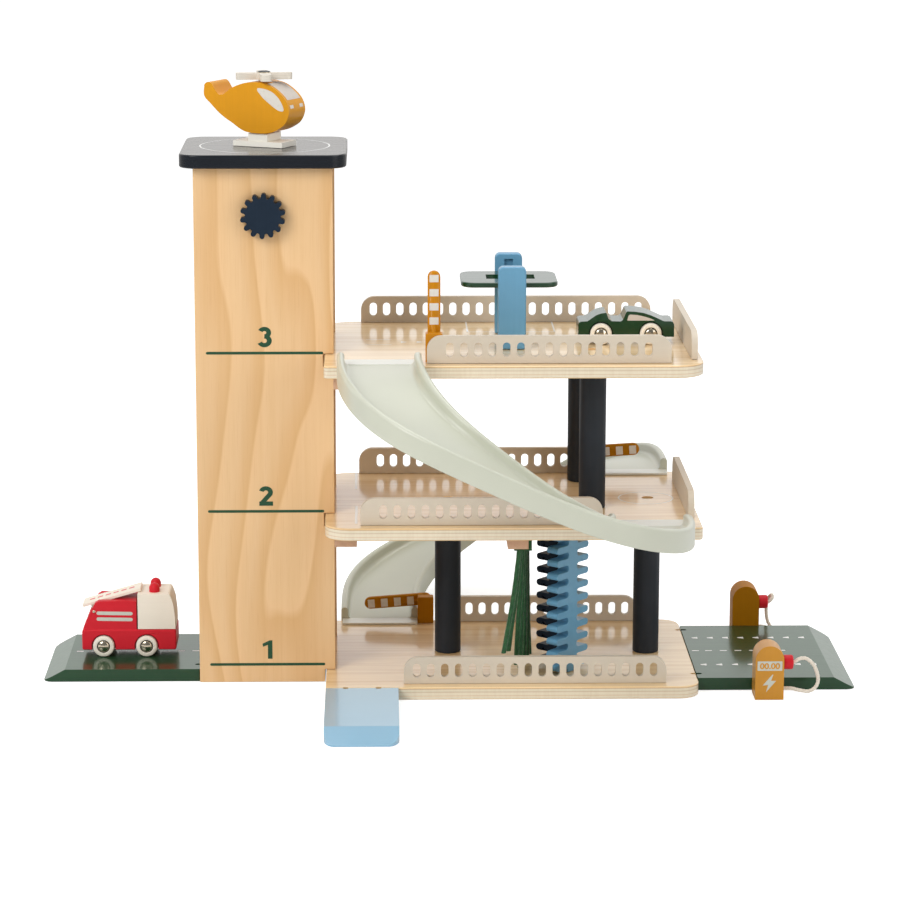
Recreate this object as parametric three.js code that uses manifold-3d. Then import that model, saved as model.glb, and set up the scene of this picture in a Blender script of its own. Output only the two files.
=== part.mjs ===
// A wooden toy parking garage: three plywood decks on columns, a lift tower with a heliport on top,
// two moulded slides, a car wash, a car hoist, gates, road plates, charging posts and three toy vehicles.
// Millimetres, +Z up. The origin is the middle of the base deck's underside, X runs along the decks to the
// right of the tower and Y from the front edge to the back edge.
import * as THREE from 'three';
import { mergeVertices } from 'three/addons/utils/BufferGeometryUtils.js';
import Module from 'manifold-3d';

const wasm = await Module();
wasm.setup();

// Gaps, overruns and roundness that several pieces share
const seatGap = 0.3;
const runGap = 0.6;
const cutOver = 2;
const fuse = 1;
const cornerSteps = 5;
const roundSteps = 26;
const smallSteps = 16;

// Decks
const deckWidth = 335.5;
const deckDepth = 234;
const ply = 11.4;
const storey = 146;
const deckEdge = 0.9;
const baseCorner = 18;
const middleCorner = 22;
const topCorner = 25;
const deckTightCorner = 4;
const deckLeft = -deckWidth / 2;
const deckRight = deckWidth / 2;
const deckFront = -deckDepth / 2;
const deckBack = deckDepth / 2;
const baseTop = ply;
const middleTop = baseTop + storey;
const topTop = middleTop + storey;

// Columns and the screw recesses above them. Each column keeps its distance from the nearer edges of the decks
const columnRadius = 12.05;
const upperFrontInset = 93.75;
const upperFrontSetback = 82.3;
const upperBackInset = 97.45;
const upperBackSetback = 37;
const lowerLeftInset = 111.75;
const lowerLeftY = 7;
const lowerRightInset = 39.75;
const lowerRightY = 3.8;
const upperFrontColumn = [deckRight - upperFrontInset, deckFront + upperFrontSetback];
const upperBackColumn = [deckRight - upperBackInset, deckBack - upperBackSetback];
const lowerLeftColumn = [deckLeft + lowerLeftInset, lowerLeftY];
const lowerRightColumn = [deckRight - lowerRightInset, lowerRightY];
const recessRadius = 5.5;
const recessDepth = 3;

// Lift tower
const towerSide = 123.4;
const towerCentreY = 5.2;
const towerPanel = 9;
const towerLap = 8.1;
const towerNotchGap = 1.4;
const doorwayWidth = 72;
const doorwayHeight = 80;
const doorwayCorner = 10;
const padSide = 147.8;
const padThickness = 12;
const padCorner = 17;
const padTop = 482.9;
const towerRight = deckLeft + towerLap;
const towerLeft = towerRight - towerSide;
const towerCentreX = (towerLeft + towerRight) / 2;
const towerFront = towerCentreY - towerSide / 2;
const towerBack = towerCentreY + towerSide / 2;
const towerTop = padTop - padThickness - seatGap;

// Lift
const liftWallGap = 1.5;
const liftWall = 6;
const liftOpeningHeight = 74;
const liftOpeningCorner = 6;
const liftFloorLift = 0.4;
const liftHookRadius = 3.5;
const liftHookHeight = 9;
const shaftBelowTop = 42;
const shaftHeight = towerTop - shaftBelowTop;
const shaftRadius = 4;
const drumRadius = 10;
const drumFlangeRadius = 15;
const drumLength = 24;
const drumFlange = 2;
const liftCordRadius = 1.2;
const knobRadius = 20.3;
const knobToothDepth = 4.2;
const knobTeeth = 14;
const knobThickness = 9;
const knobStandoff = 1.5;
const knobToothSteps = 6;

// Rails
const railHeight = 24.5;
const railThickness = 5.5;
const railCorner = 13;
const slotPitch = 12.5;
const slotWidth = 6.8;
const slotHeight = 12.7;
const slotSteps = 3;
const frontRailInset = 11.4;
const backRailInset = 1.1;
const endRailInset = 4.8;
const wideMargin = 20.2;
const narrowMargin = 11.6;
// How far each rail's two ends stay from the left and right edges of the decks, or from the front and back
const baseFrontRailInsets = [70.05, 29.75];
const baseBackRailInsets = [110.45, 39.35];
const middleFrontRailInsets = [31.65, 88.45];
const middleBackRailInsets = [29.45, 90.65];
const topFrontRailInsets = [90.55, 29.55];
const topBackRailInsets = [31.85, 30.45];
const middleEndRailInsets = [34, 37];
const topEndRailInsets = [28, 13];

// Slides: both are the same moulding, the lower one turned half a turn about the middle of the decks.
// Each wall's middle line runs from the deck's edge out to its reach and back, as two rounded quarters
const slideInset = 48.75;
const slideCentre = deckRight - slideInset;
const slideHalfSpacing = 33.75;
const slideOuterReach = 192.4;
const slideOuterApex = -15.2;
const slideOuterPowers = [2.87, 3];
const slideInnerReach = 127.5;
const slideInnerApex = 13;
const slideInnerPowers = [2.78, 2.58];
const slideWall = 6.6;
const slideRim = 12.8;
const slideWallHeight = 20.8;
const slideFloor = 2.5;
const slideFloorTop = 1.5;
const slideSkirt = 2.6;
const slideRound = 2.2;
const slideFillet = 3.5;
const slideStartSlopeShare = 0;
const slideEndSlopeShare = 0.83;
const slideBulgeShare = 1.86;
const slideLeanShare = -4.22;
const slideTongueWidth = 71.6;
const upperTongueReach = 30;
const lowerTongueReach = 18;
const slideEdgeGap = 0.6;
const slideStations = 32;
const slideSamples = 120;

// Ramp and road plates
const rampWidth = 65;
const rampLength = 141;
const rampBevel = 23;
const rampToe = 1.2;
const rampCorner = 14;
const rampPinRadius = 2.8;
const rampPinSpacing = 29.5;
const leftPlateLength = 142.5;
const leftPlateWidth = 122.7;
const leftPlateCentreY = 8.6;
const rightPlateLength = 143;
const rightPlateWidth = 181.2;
const rightPlateCentreY = 0.8;
const plateBevel = 19.7;
const plateToe = 0.8;
const plateCorner = 8;
const linkLength = 5.4;
const linkWidth = 4.6;
const linkDepth = 6;
const rightLinkSpread = 152;
const leftLinkSpread = 90;

// Blocks under the decks beside the tower
const middleCleatLength = 186;
const topCleatLength = 216;
const cleatWidth = 20;
const cleatHeight = 10.8;

// Gates
const gateBlockWidth = 15.2;
const gateBlockDepth = 11.5;
const gateBlockHeight = 25.5;
const gateArmWidth = 11.3;
const gateArmThickness = 5.5;
const gateArmLength = 64.3;
const gatePivotDrop = 4.8;
const gatePinRadius = 2.2;
const gatePinLength = 7;
const topGateInset = 97.15;
const topGateSetback = 17.3;
const middleGateInset = 98.15;
const middleGateSetback = 24.5;
const baseGateInset = 92.65;
const baseGateSetback = 12.7;
const topGateX = deckLeft + topGateInset;
const topGateFront = deckFront + topGateSetback;
const middleGateX = deckRight - middleGateInset;
const middleGateFront = deckBack - middleGateSetback;
const baseGateX = deckLeft + baseGateInset;
const baseGateFront = deckBack - baseGateSetback;
const topGateTilt = 90;
const middleGateTilt = 3.5;
const baseGateTilt = 184.3;

// Car wash
const washX = 3.4;
const washBeamWidth = 19.9;
const washBeamHeight = 10.5;
const washBeamDraft = 1.5;
const washBeamLength = 100;
const washBeamSetback = 12;
const washBeamFront = deckFront + washBeamSetback;
const washBeamBack = washBeamFront + washBeamLength;
const stripCount = 9;
const stripWidth = 4.2;
const stripThickness = 3.4;
const stripInset = 5;
const stripHeader = 11;
const stripHeaderThickness = 4.2;
const stripFlange = 2.2;
const stripFlangeReach = 13;
const stripLengths = [95, 96, 112, 118, 119, 117, 120, 119, 120];
const stripRoots = [-10.5, -8.5, -6.3, -4.4, -2.8, -1.4, -0.4, 0, 0.2];
const stripLeans = [-12.5, -10, -5.4, -4.5, -2, -3, 0, -1, 1.5];
const stripLeanPower = 1.2;
const stripSteps = 6;
const brushX = 51;
const brushSetback = 55;
const brushY = deckFront + brushSetback;
const brushTurn = 53;
const brushWidth = 46;
const brushBoard = 12;
const brushSpine = 12;
const brushRibRoot = 9.4;
const brushRibReach = 25;
const brushTeeth = 11;
const brushToothHeight = 6;
const brushPinRadius = 3;
const brushPinLength = 4;

// Car hoist on the top deck
const hoistX = 0.45;
const hoistPostWidth = 25.1;
const hoistPostThickness = 11.5;
const hoistPostHeight = 74.7;
const hoistPostCorner = 4.8;
const hoistSetback = 80;
const hoistFrontY = deckFront + hoistSetback;
const hoistLane = 71.6;
const hoistGrooveWidth = 8;
const hoistGrooveDepth = 4;
const hoistGrooveFoot = 0.8;
const hoistGrooveHead = 5;
const hoistPlateWidth = 87.5;
const hoistPlateThickness = 4.6;
const hoistPlateCorner = 12;
const hoistPlateTop = 59;
const hoistPlateOffset = -1.7;
const hoistSlotWidth = 44;
const hoistSlotDepth = 25;
const hoistSlotOffset = 1.4;

// Wheels that all road vehicles share
const wheelRadius = 9.85;
const wheelThickness = 7;
const wheelRound = 1.4;
const wheelSteps = 22;
const hubRadius = 6.2;
const hubDome = 1.6;
const hubShoulderShare = 0.7;
const axleRadius = 2;
const axleGap = 0.1;
const archRadius = 11.2;
const wheelProud = 1.6;

// Fire engine on the left plate. Its outlines are drawn from its rear end and the plate it stands on
const engineRear = -393.8;
const engineLength = 86.8;
const engineWidth = 41;
const engineCentreY = 10.5;
const engineFloor = 6.2;
const engineSill = 25.4;
const engineRearAxle = 19.7;
const engineWheelbase = 39.7;
const engineBodyRear = [
  [50.4, 51.5], [49.4, 52.5], [15.8, 52.5], [12.6, 50.6], [7.4, 41.1], [2.2, 29], [1.6, 26.4],
];
const engineBodyTop = 52.5;
const engineCabRear = 51.5;
const engineCabTop = 59.1;
const engineCabNose = [[86.2, 26.4], [86, 36.5], [84.6, 48.6], [83, 54], [81.2, 58.2], [79.8, 59.1]];
const beaconRadius = 4.75;
const beaconHeight = 8.2;
const beaconSpacing = 19;
const beaconX = 66.7;
const ladderLength = 55.8;
const ladderThickness = 2.6;
const ladderWidth = 24;
const ladderTilt = 16.2;
const ladderPinX = 11.4;
const ladderPinZ = 42.5;
const ladderPinRadius = 1.3;
const ladderTab = 14;
const ladderOverhang = 9.4;
const ladderRise = 5.1;
const ladderGap = 0.8;
const ladderWell = 8.5;

// Sports car on the top deck, drawn the same way
const carInset = 106.35;
const carRear = deckRight - carInset;
const carWidth = 33;
const carCentreY = 2.7;
const carRearAxle = 20.7;
const carWheelbase = 45.3;
const carOutline = [
  [0, 7.1], [87.1, 7.1], [87.1, 18.4], [86, 20.8], [83.9, 21.4], [78.6, 21.4], [76.6, 22], [72.5, 24],
  [65.9, 26.9], [59.2, 29.1], [51.2, 30.3], [44.5, 30.6], [43.5, 29.8], [40.5, 22.8], [38.5, 21.4],
  [30.4, 21.6], [27.4, 23.8], [25.8, 28.5], [25.1, 29.3], [21.1, 28.8], [16.4, 27.2], [12.4, 24.5],
  [8.4, 21.6], [2.4, 21.3], [0.7, 20.2], [0, 18.1],
];

// Helicopter on the heliport, drawn from its mast and the plate it stands on
const heliYaw = -26;
const heliThickness = 32;
const heliEdge = 1.8;
const heliOutline = [
  [-52.4, 43.6], [-45.5, 36.6], [-38, 29.6], [-31, 24.6], [-24, 20.6], [-17, 16.1], [-9.9, 13.2], [0, 12.4],
  [10.4, 12.7], [17, 14.4], [22, 16.8], [27.2, 20.2], [30.8, 24.8], [33, 31.1], [32.6, 36.4], [30.8, 41.2],
  [28, 45.2], [23.7, 49.2], [18, 53.2], [11.3, 56.2], [0.7, 57.9], [-11.7, 56.8], [-24, 52.3],
  [-29.5, 48.3], [-34.7, 45.2], [-38.6, 46.2], [-42, 50.4], [-44.4, 54.2], [-47, 56.1], [-49.7, 56],
  [-51.8, 54.4], [-52.4, 52.2],
];
const skidLength = 50;
const skidWidth = 28;
const skidThickness = 4.8;
const skidStemLength = 19.5;
const skidStemWidth = 27;
const skidStemHeight = 7;
const rotorRadius = 25.25;
const rotorBlade = 9.6;
const rotorThickness = 6;
const bladeRoundShare = 0.42;
const rotorRise = 1.8;
const rotorTurn = -10;
const rotorPinRadius = 2.2;
const rotorPinLength = 9;
const rotorCapRadius = 5.75;
const rotorCapHeight = 3.2;
const rotorCapRimShare = 0.3;
const rotorCapWaistShare = 0.6;
const rotorCapShoulderShare = 0.85;

// Charging posts on the floor beside the right plate
const stationWidth = 25.6;
const stationDepth = 25;
const stationHeight = 49.6;
const frontStationX = 229;
const frontStationFace = -122.4;
const backStationX = 231.4;
const stationPlateGap = 0.6;
const plugRadius = 6.5;
const plugLength = 9;
const plugHeight = 31.6;
const plugRound = 1;
const ropeRadius = 1.7;
const ropeSides = 8;
const ropeSteps = 26;

// Where each rope passes, from its plug's end: out along X, sideways, and height above the floor
const frontRopeRoute = [
  [9.8, 0, 31.7], [11, 0, 31.9], [15.5, 0, 34.6], [21.5, 0, 34.6], [28.3, 0, 28.4], [32.2, 0, 17.2],
  [30.6, 0, 8.8], [24.4, 0, 4.4], [16.2, 0, 5.2], [9, 0, 7], [4.6, 0, 7.2], [0.3, 0, 7.2],
];
const backRopeRoute = [
  [9.8, 0, 31.7], [11, 0, 31.9], [14, 2, 34.6], [14, 7, 36.6], [11, 12, 31], [10, 14.4, 20],
  [11.5, 15.2, 9], [14, 13, 4], [13.4, 8, 3], [9.5, 3, 5], [5, 0.4, 7.1], [0.3, 0, 7.2],
];

// Finishes
const birch = new THREE.MeshStandardMaterial({ color: 0xe9cfa3, roughness: 0.5, metalness: 0 });
const pine = new THREE.MeshStandardMaterial({ color: 0xe6ba7f, roughness: 0.55, metalness: 0 });
const beech = new THREE.MeshStandardMaterial({ color: 0xcf9f80, roughness: 0.6, metalness: 0 });
const navy = new THREE.MeshStandardMaterial({ color: 0x202a36, roughness: 0.4, metalness: 0 });
const sand = new THREE.MeshStandardMaterial({ color: 0xcdc0ac, roughness: 0.5, metalness: 0 });
const mist = new THREE.MeshStandardMaterial({ color: 0xdedfd0, roughness: 0.35, metalness: 0 });
const blue = new THREE.MeshStandardMaterial({ color: 0x6a9bb8, roughness: 0.4, metalness: 0 });
const green = new THREE.MeshStandardMaterial({ color: 0x1e4630, roughness: 0.35, metalness: 0 });
const roadGreen = new THREE.MeshStandardMaterial({ color: 0x375a42, roughness: 0.3, metalness: 0 });
const ochre = new THREE.MeshStandardMaterial({ color: 0xc68a28, roughness: 0.45, metalness: 0 });
const red = new THREE.MeshStandardMaterial({ color: 0xc9303c, roughness: 0.4, metalness: 0 });
const cream = new THREE.MeshStandardMaterial({ color: 0xe6dccb, roughness: 0.5, metalness: 0 });
const felt = new THREE.MeshStandardMaterial({ color: 0x1f5a30, roughness: 0.95, metalness: 0 });
const cotton = new THREE.MeshStandardMaterial({ color: 0xece2d2, roughness: 0.9, metalness: 0 });

const garage = new THREE.Group();

// Shape helpers

function point(x, y) {
  return new THREE.Vector2(x, y);
}

// A round stretch of an outline, from one angle to another in degrees, both ends included
function arc(x, y, radius, from, to, steps) {
  const points = [];
  for (let i = 0; i <= steps; i += 1) {
    const angle = THREE.MathUtils.degToRad(from + ((to - from) * i) / steps);
    points.push(point(x + radius * Math.cos(angle), y + radius * Math.sin(angle)));
  }
  return points;
}

// A rectangle with its own radius at each corner: front left, front right, back right, back left
function roundedOutline(left, front, right, back, radii, steps = cornerSteps) {
  const [frontLeft, frontRight, backRight, backLeft] = radii;
  return [
    ...arc(left + frontLeft, front + frontLeft, frontLeft, 180, 270, steps),
    ...arc(right - frontRight, front + frontRight, frontRight, 270, 360, steps),
    ...arc(right - backRight, back - backRight, backRight, 0, 90, steps),
    ...arc(left + backLeft, back - backLeft, backLeft, 90, 180, steps),
  ];
}

// A slab of an outline from z = 0 upwards, with its edges rounded by edge
function slab(outline, thickness, edge = 0, holes = []) {
  const shape = new THREE.Shape(outline);
  for (const hole of holes) {
    shape.holes.push(new THREE.Path(hole));
  }
  const geometry = new THREE.ExtrudeGeometry(shape, {
    depth: thickness - 2 * edge,
    bevelEnabled: edge > 0,
    bevelThickness: edge,
    bevelSize: edge,
    bevelOffset: -edge,
    bevelSegments: 1,
    curveSegments: 1,
  });
  return geometry.translate(0, 0, edge);
}

// The same slab stood up: the outline lies in XZ and the thickness runs from y = 0 towards +Y
function upright(outline, thickness, edge = 0, holes = []) {
  return slab(outline, thickness, edge, holes).rotateX(Math.PI / 2).translate(0, thickness, 0);
}

// An outline in YZ with its thickness along +X
function sideways(outline, thickness, edge = 0, holes = []) {
  return slab(outline, thickness, edge, holes)
    .rotateX(Math.PI / 2)
    .rotateZ(Math.PI / 2);
}

function box(width, depth, height) {
  return new THREE.BoxGeometry(width, depth, height).translate(0, 0, height / 2);
}

// A cylinder that stands on z = 0
function post(radius, height, steps = roundSteps) {
  return new THREE.CylinderGeometry(radius, radius, height, steps).rotateX(Math.PI / 2).translate(0, 0, height / 2);
}

// A cylinder along Y from y = 0
function barY(radius, length, steps = smallSteps) {
  return new THREE.CylinderGeometry(radius, radius, length, steps).translate(0, length / 2, 0);
}

function solid(geometry) {
  const plain = geometry.clone();
  plain.deleteAttribute('normal');
  plain.deleteAttribute('uv');
  const merged = mergeVertices(plain);
  const index = merged.index.array;
  const kept = [];
  for (let i = 0; i < index.length; i += 3) {
    const [a, b, c] = [index[i], index[i + 1], index[i + 2]];
    if (a !== b && b !== c && c !== a) {
      kept.push(a, b, c);
    }
  }
  return new wasm.Manifold(new wasm.Mesh({
    numProp: 3,
    vertProperties: new Float32Array(merged.attributes.position.array),
    triVerts: new Uint32Array(kept),
  }));
}

function geometryOf(manifold) {
  const mesh = manifold.getMesh();
  const geometry = new THREE.BufferGeometry();
  geometry.setAttribute('position', new THREE.BufferAttribute(new Float32Array(mesh.vertProperties), 3));
  geometry.setIndex(new THREE.BufferAttribute(new Uint32Array(mesh.triVerts), 1));
  return geometry;
}

function cut(geometry, ...tools) {
  return geometryOf(tools.reduce((result, tool) => result.subtract(solid(tool)), solid(geometry)));
}

function join(geometry, ...others) {
  return geometryOf(others.reduce((result, other) => result.add(solid(other)), solid(geometry)));
}

function common(geometry, other) {
  return geometryOf(solid(geometry).intersect(solid(other)));
}

function addPiece(name, geometry, material, parent = garage) {
  const flat = geometry.index ? geometry.toNonIndexed() : geometry;
  flat.computeVertexNormals();
  const mesh = new THREE.Mesh(flat, material);
  mesh.name = name;
  parent.add(mesh);
  return mesh;
}

// A closed body through rings of equal length, flat at both ends. The flatten function turns a ring's
// points into plane ones for the end faces
function bodyOfRings(rings, flatten) {
  const count = rings[0].length;
  const index = [];
  for (let i = 0; i < rings.length - 1; i += 1) {
    for (let k = 0; k < count; k += 1) {
      const a = i * count + k;
      const b = i * count + ((k + 1) % count);
      index.push(a, b, a + count, b, b + count, a + count);
    }
  }
  const last = (rings.length - 1) * count;
  for (const face of THREE.ShapeUtils.triangulateShape(rings[0].map(flatten), [])) {
    const [a, b, c] = face.sort((p, q) => p - q);
    index.push(a, c, b);
  }
  for (const face of THREE.ShapeUtils.triangulateShape(rings[rings.length - 1].map(flatten), [])) {
    const [a, b, c] = face.sort((p, q) => p - q);
    index.push(last + a, last + b, last + c);
  }
  const positions = rings.flat().flatMap((p) => [p.x, p.y, p.z]);
  const geometry = new THREE.BufferGeometry();
  geometry.setAttribute('position', new THREE.BufferAttribute(new Float32Array(positions), 3));
  geometry.setIndex(index);
  return rightWayOut(geometry);
}

function rightWayOut(geometry) {
  if (solid(geometry).volume() < 0) {
    const index = geometry.index.array;
    for (let i = 0; i < index.length; i += 3) {
      [index[i], index[i + 1]] = [index[i + 1], index[i]];
    }
  }
  return geometry;
}

// Decks

function deckPlate(radii) {
  return slab(roundedOutline(deckLeft, deckFront, deckRight, deckBack, radii), ply, deckEdge);
}

function screwRecess([x, y]) {
  return post(recessRadius, recessDepth + cutOver, smallSteps).translate(x, y, ply - recessDepth);
}

// Half of the oblong notch that the link between two plates drops into, at the seam x
function linkNotch(x, y) {
  const half = linkWidth / 2;
  const outline = [
    ...arc(x + linkLength - half, y, half, -90, 90, cornerSteps),
    ...arc(x - linkLength + half, y, half, 90, 270, cornerSteps),
  ];
  return slab(outline, linkDepth + cutOver).translate(0, 0, ply - linkDepth);
}

function linkNotches(x, centreY, spread) {
  return [-1, 1].map((side) => linkNotch(x, centreY + (side * spread) / 2));
}

function rampPins() {
  return [-1, 1].map((side) => post(rampPinRadius, linkDepth + cutOver, smallSteps)
    .translate(deckLeft + rampWidth / 2 + (side * rampPinSpacing) / 2, deckFront, ply - linkDepth));
}

function addDecks() {
  const base = cut(
    deckPlate([deckTightCorner, baseCorner, baseCorner, deckTightCorner]),
    ...linkNotches(deckRight, rightPlateCentreY, rightLinkSpread),
    ...rampPins(),
    brushPinHole().translate(0, 0, ply - brushPinLength),
  );
  addPiece('base_deck', base, birch);
  const middle = cut(
    deckPlate([middleCorner, deckTightCorner, deckTightCorner, middleCorner]),
    screwRecess(lowerLeftColumn),
    screwRecess(lowerRightColumn),
    brushPinHole().translate(0, 0, -cutOver),
  );
  addPiece('middle_deck', middle, birch).position.z = middleTop - ply;
  const top = cut(
    deckPlate([deckTightCorner, topCorner, topCorner, topCorner]),
    screwRecess(upperFrontColumn),
    screwRecess(upperBackColumn),
  );
  addPiece('top_deck', top, birch).position.z = topTop - ply;
}

function brushPinHole() {
  return post(brushPinRadius + runGap, brushPinLength + cutOver, smallSteps).translate(brushX, brushY, 0);
}

function addColumn(name, [x, y], floor) {
  const height = storey - ply - 2 * seatGap;
  addPiece(name, post(columnRadius, height), navy).position.set(x, y, floor + seatGap);
}

function addColumns() {
  addColumn('lower_left_column', lowerLeftColumn, baseTop);
  addColumn('lower_right_column', lowerRightColumn, baseTop);
  addColumn('upper_front_column', upperFrontColumn, middleTop);
  addColumn('upper_back_column', upperBackColumn, middleTop);
}

// Rails

function slotHole(x) {
  const radius = slotWidth / 2;
  const middle = railHeight / 2;
  const rise = slotHeight / 2 - radius;
  return [
    ...arc(x, middle + rise, radius, 0, 180, slotSteps),
    ...arc(x, middle - rise, radius, 180, 360, slotSteps),
  ];
}

// A board that stands on a deck, round at its two upper corners, along X from x = 0
function railBoard(length, holes) {
  const outline = [
    point(0, 0),
    point(length, 0),
    ...arc(length - railCorner, railHeight - railCorner, railCorner, 0, 90, cornerSteps),
    ...arc(railCorner, railHeight - railCorner, railCorner, 90, 180, cornerSteps),
  ];
  return upright(outline, railThickness, 0, holes);
}

// A rail between its two insets, with as many slots as fit at their pitch between margins of this width
function addSlottedRail(name, [leftInset, rightInset], margin, faceY, floor) {
  const length = deckWidth - leftInset - rightInset;
  const slots = Math.max(1, Math.round((length - 2 * margin) / slotPitch) + 1);
  const first = (length - (slots - 1) * slotPitch) / 2;
  const holes = Array.from({ length: slots }, (_, i) => slotHole(first + i * slotPitch));
  const rail = addPiece(name, railBoard(length, holes), sand);
  rail.position.set(deckLeft + leftInset, faceY, floor + seatGap);
}

function addEndRail(name, [frontInset, backInset], floor) {
  const rail = addPiece(name, railBoard(deckDepth - frontInset - backInset, []), sand);
  rail.rotation.z = Math.PI / 2;
  rail.position.set(deckRight - endRailInset, deckFront + frontInset, floor + seatGap);
}

function addRails() {
  const frontFace = deckFront + frontRailInset;
  const backFace = deckBack - backRailInset - railThickness;
  addSlottedRail('base_front_rail', baseFrontRailInsets, narrowMargin, frontFace, baseTop);
  addSlottedRail('base_back_rail', baseBackRailInsets, narrowMargin, backFace, baseTop);
  addSlottedRail('middle_front_rail', middleFrontRailInsets, wideMargin, frontFace, middleTop);
  addSlottedRail('middle_back_rail', middleBackRailInsets, wideMargin, backFace, middleTop);
  addSlottedRail('top_front_rail', topFrontRailInsets, wideMargin, frontFace, topTop);
  addSlottedRail('top_back_rail', topBackRailInsets, narrowMargin, backFace, topTop);
  addEndRail('middle_end_rail', middleEndRailInsets, middleTop);
  addEndRail('top_end_rail', topEndRailInsets, topTop);
}

// Tower

// Front and back panels are notched at their right edge for the three decks
function notchedPanel() {
  const notchLeft = deckLeft - towerNotchGap - towerLeft;
  const outline = [point(0, 0), point(notchLeft, 0), point(notchLeft, baseTop + seatGap)];
  outline.push(point(towerSide, baseTop + seatGap));
  for (const top of [middleTop, topTop]) {
    outline.push(
      point(towerSide, top - ply - seatGap),
      point(notchLeft, top - ply - seatGap),
      point(notchLeft, top + seatGap),
      point(towerSide, top + seatGap),
    );
  }
  outline.push(point(towerSide, towerTop), point(0, towerTop));
  return upright(outline, towerPanel);
}

function shaftHole() {
  return barY(shaftRadius + axleGap, towerPanel + 2 * cutOver)
    .translate(towerCentreX - towerLeft, -cutOver, shaftHeight);
}

function addTower() {
  const panel = cut(notchedPanel(), shaftHole());
  addPiece('tower_front_panel', panel, pine).position.set(towerLeft, towerFront, 0);
  addPiece('tower_back_panel', panel.clone(), pine).position.set(towerLeft, towerBack - towerPanel, 0);
  const inside = towerSide - 2 * towerPanel - 2 * seatGap;
  const door = doorwayWidth / 2;
  const outline = [
    point(-inside / 2, 0),
    point(-door, 0),
    ...arc(-door + doorwayCorner, doorwayHeight - doorwayCorner, doorwayCorner, 180, 90, cornerSteps),
    ...arc(door - doorwayCorner, doorwayHeight - doorwayCorner, doorwayCorner, 90, 0, cornerSteps),
    point(door, 0),
    point(inside / 2, 0),
    point(inside / 2, towerTop),
    point(-inside / 2, towerTop),
  ];
  addPiece('tower_left_panel', sideways(outline, towerPanel), pine).position.set(towerLeft, towerCentreY, 0);
  const half = padSide / 2;
  const pad = slab(roundedOutline(-half, -half, half, half, Array(4).fill(padCorner)), padThickness, deckEdge);
  addPiece('heliport_plate', pad, navy).position.set(towerCentreX, towerCentreY, padTop - padThickness);
}

// Lift

const liftFront = towerFront + towerPanel + liftWallGap;
const liftDepth = towerSide - 2 * towerPanel - 2 * liftWallGap;
const liftLeft = towerLeft + towerPanel + liftWallGap;
const liftLength = deckLeft - towerNotchGap - liftLeft;
const liftFloor = ply - liftFloorLift;
const liftHeight = liftFloor + liftOpeningHeight + liftWall;
const liftCordX = towerCentreX + drumRadius + liftCordRadius;

function addLiftCabin() {
  const inside = liftDepth / 2 - liftWall;
  const ring = roundedOutline(-liftDepth / 2, 0, liftDepth / 2, liftHeight, Array(4).fill(deckEdge), 1);
  const opening = roundedOutline(
    -inside,
    liftFloor,
    inside,
    liftFloor + liftOpeningHeight,
    [deckEdge, deckEdge, liftOpeningCorner, liftOpeningCorner],
  );
  const frame = sideways(ring, liftLength, 0, [opening]).translate(liftLeft, towerCentreY, liftFloorLift);
  const hook = post(liftHookRadius, liftHookHeight + fuse, smallSteps)
    .translate(liftCordX, towerCentreY, liftFloorLift + liftHeight - fuse);
  addPiece('lift_cabin', join(frame, hook), birch);
}

function addWindingShaft() {
  const start = towerFront - knobStandoff - knobThickness / 2;
  const end = towerBack - towerPanel / 2;
  const shaft = barY(shaftRadius, end - start).translate(0, start, 0);
  const profile = [
    point(0, 0),
    point(drumFlangeRadius, 0),
    point(drumFlangeRadius, drumFlange),
    point(drumRadius, drumFlange),
    point(drumRadius, drumLength - drumFlange),
    point(drumFlangeRadius, drumLength - drumFlange),
    point(drumFlangeRadius, drumLength),
    point(0, drumLength),
  ];
  const drum = new THREE.LatheGeometry(profile, roundSteps).translate(0, towerCentreY - drumLength / 2, 0);
  const whole = join(shaft, drum).translate(towerCentreX, 0, shaftHeight);
  addPiece('winding_shaft', whole, beech);
}

// A round knob with a wavy, gear-like rim
function addKnob() {
  const outline = [];
  const steps = knobTeeth * knobToothSteps;
  const mean = knobRadius - knobToothDepth / 2;
  for (let i = 0; i < steps; i += 1) {
    const angle = (2 * Math.PI * i) / steps;
    const radius = mean + (knobToothDepth / 2) * Math.cos(knobTeeth * angle);
    outline.push(point(radius * Math.cos(angle), radius * Math.sin(angle)));
  }
  const bore = barY(shaftRadius + seatGap, knobThickness / 2 + seatGap + cutOver)
    .translate(0, knobThickness / 2 - seatGap, 0);
  const knob = cut(upright(outline, knobThickness, deckEdge), bore);
  addPiece('lift_knob', knob, navy).position.set(
    towerCentreX,
    towerFront - knobStandoff - knobThickness,
    shaftHeight,
  );
}

function addLiftCord() {
  const foot = liftFloorLift + liftHeight + liftHookHeight + seatGap;
  const cord = post(liftCordRadius, shaftHeight - foot, ropeSides);
  addPiece('lift_cord', cord, cotton).position.set(liftCordX + seatGap, towerCentreY, foot);
}

// Slides

// A quarter of a rounded rectangle from (start, 0) to (apex, -reach)
function slideQuarter(start, apex, reach, power) {
  const points = [];
  for (let i = 0; i <= slideSamples; i += 1) {
    const angle = (Math.PI / 2) * (i / slideSamples);
    points.push(point(
      apex + (start - apex) * Math.abs(Math.cos(angle)) ** (2 / power),
      -reach * Math.sin(angle) ** (2 / power),
    ));
  }
  return points;
}

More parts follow.
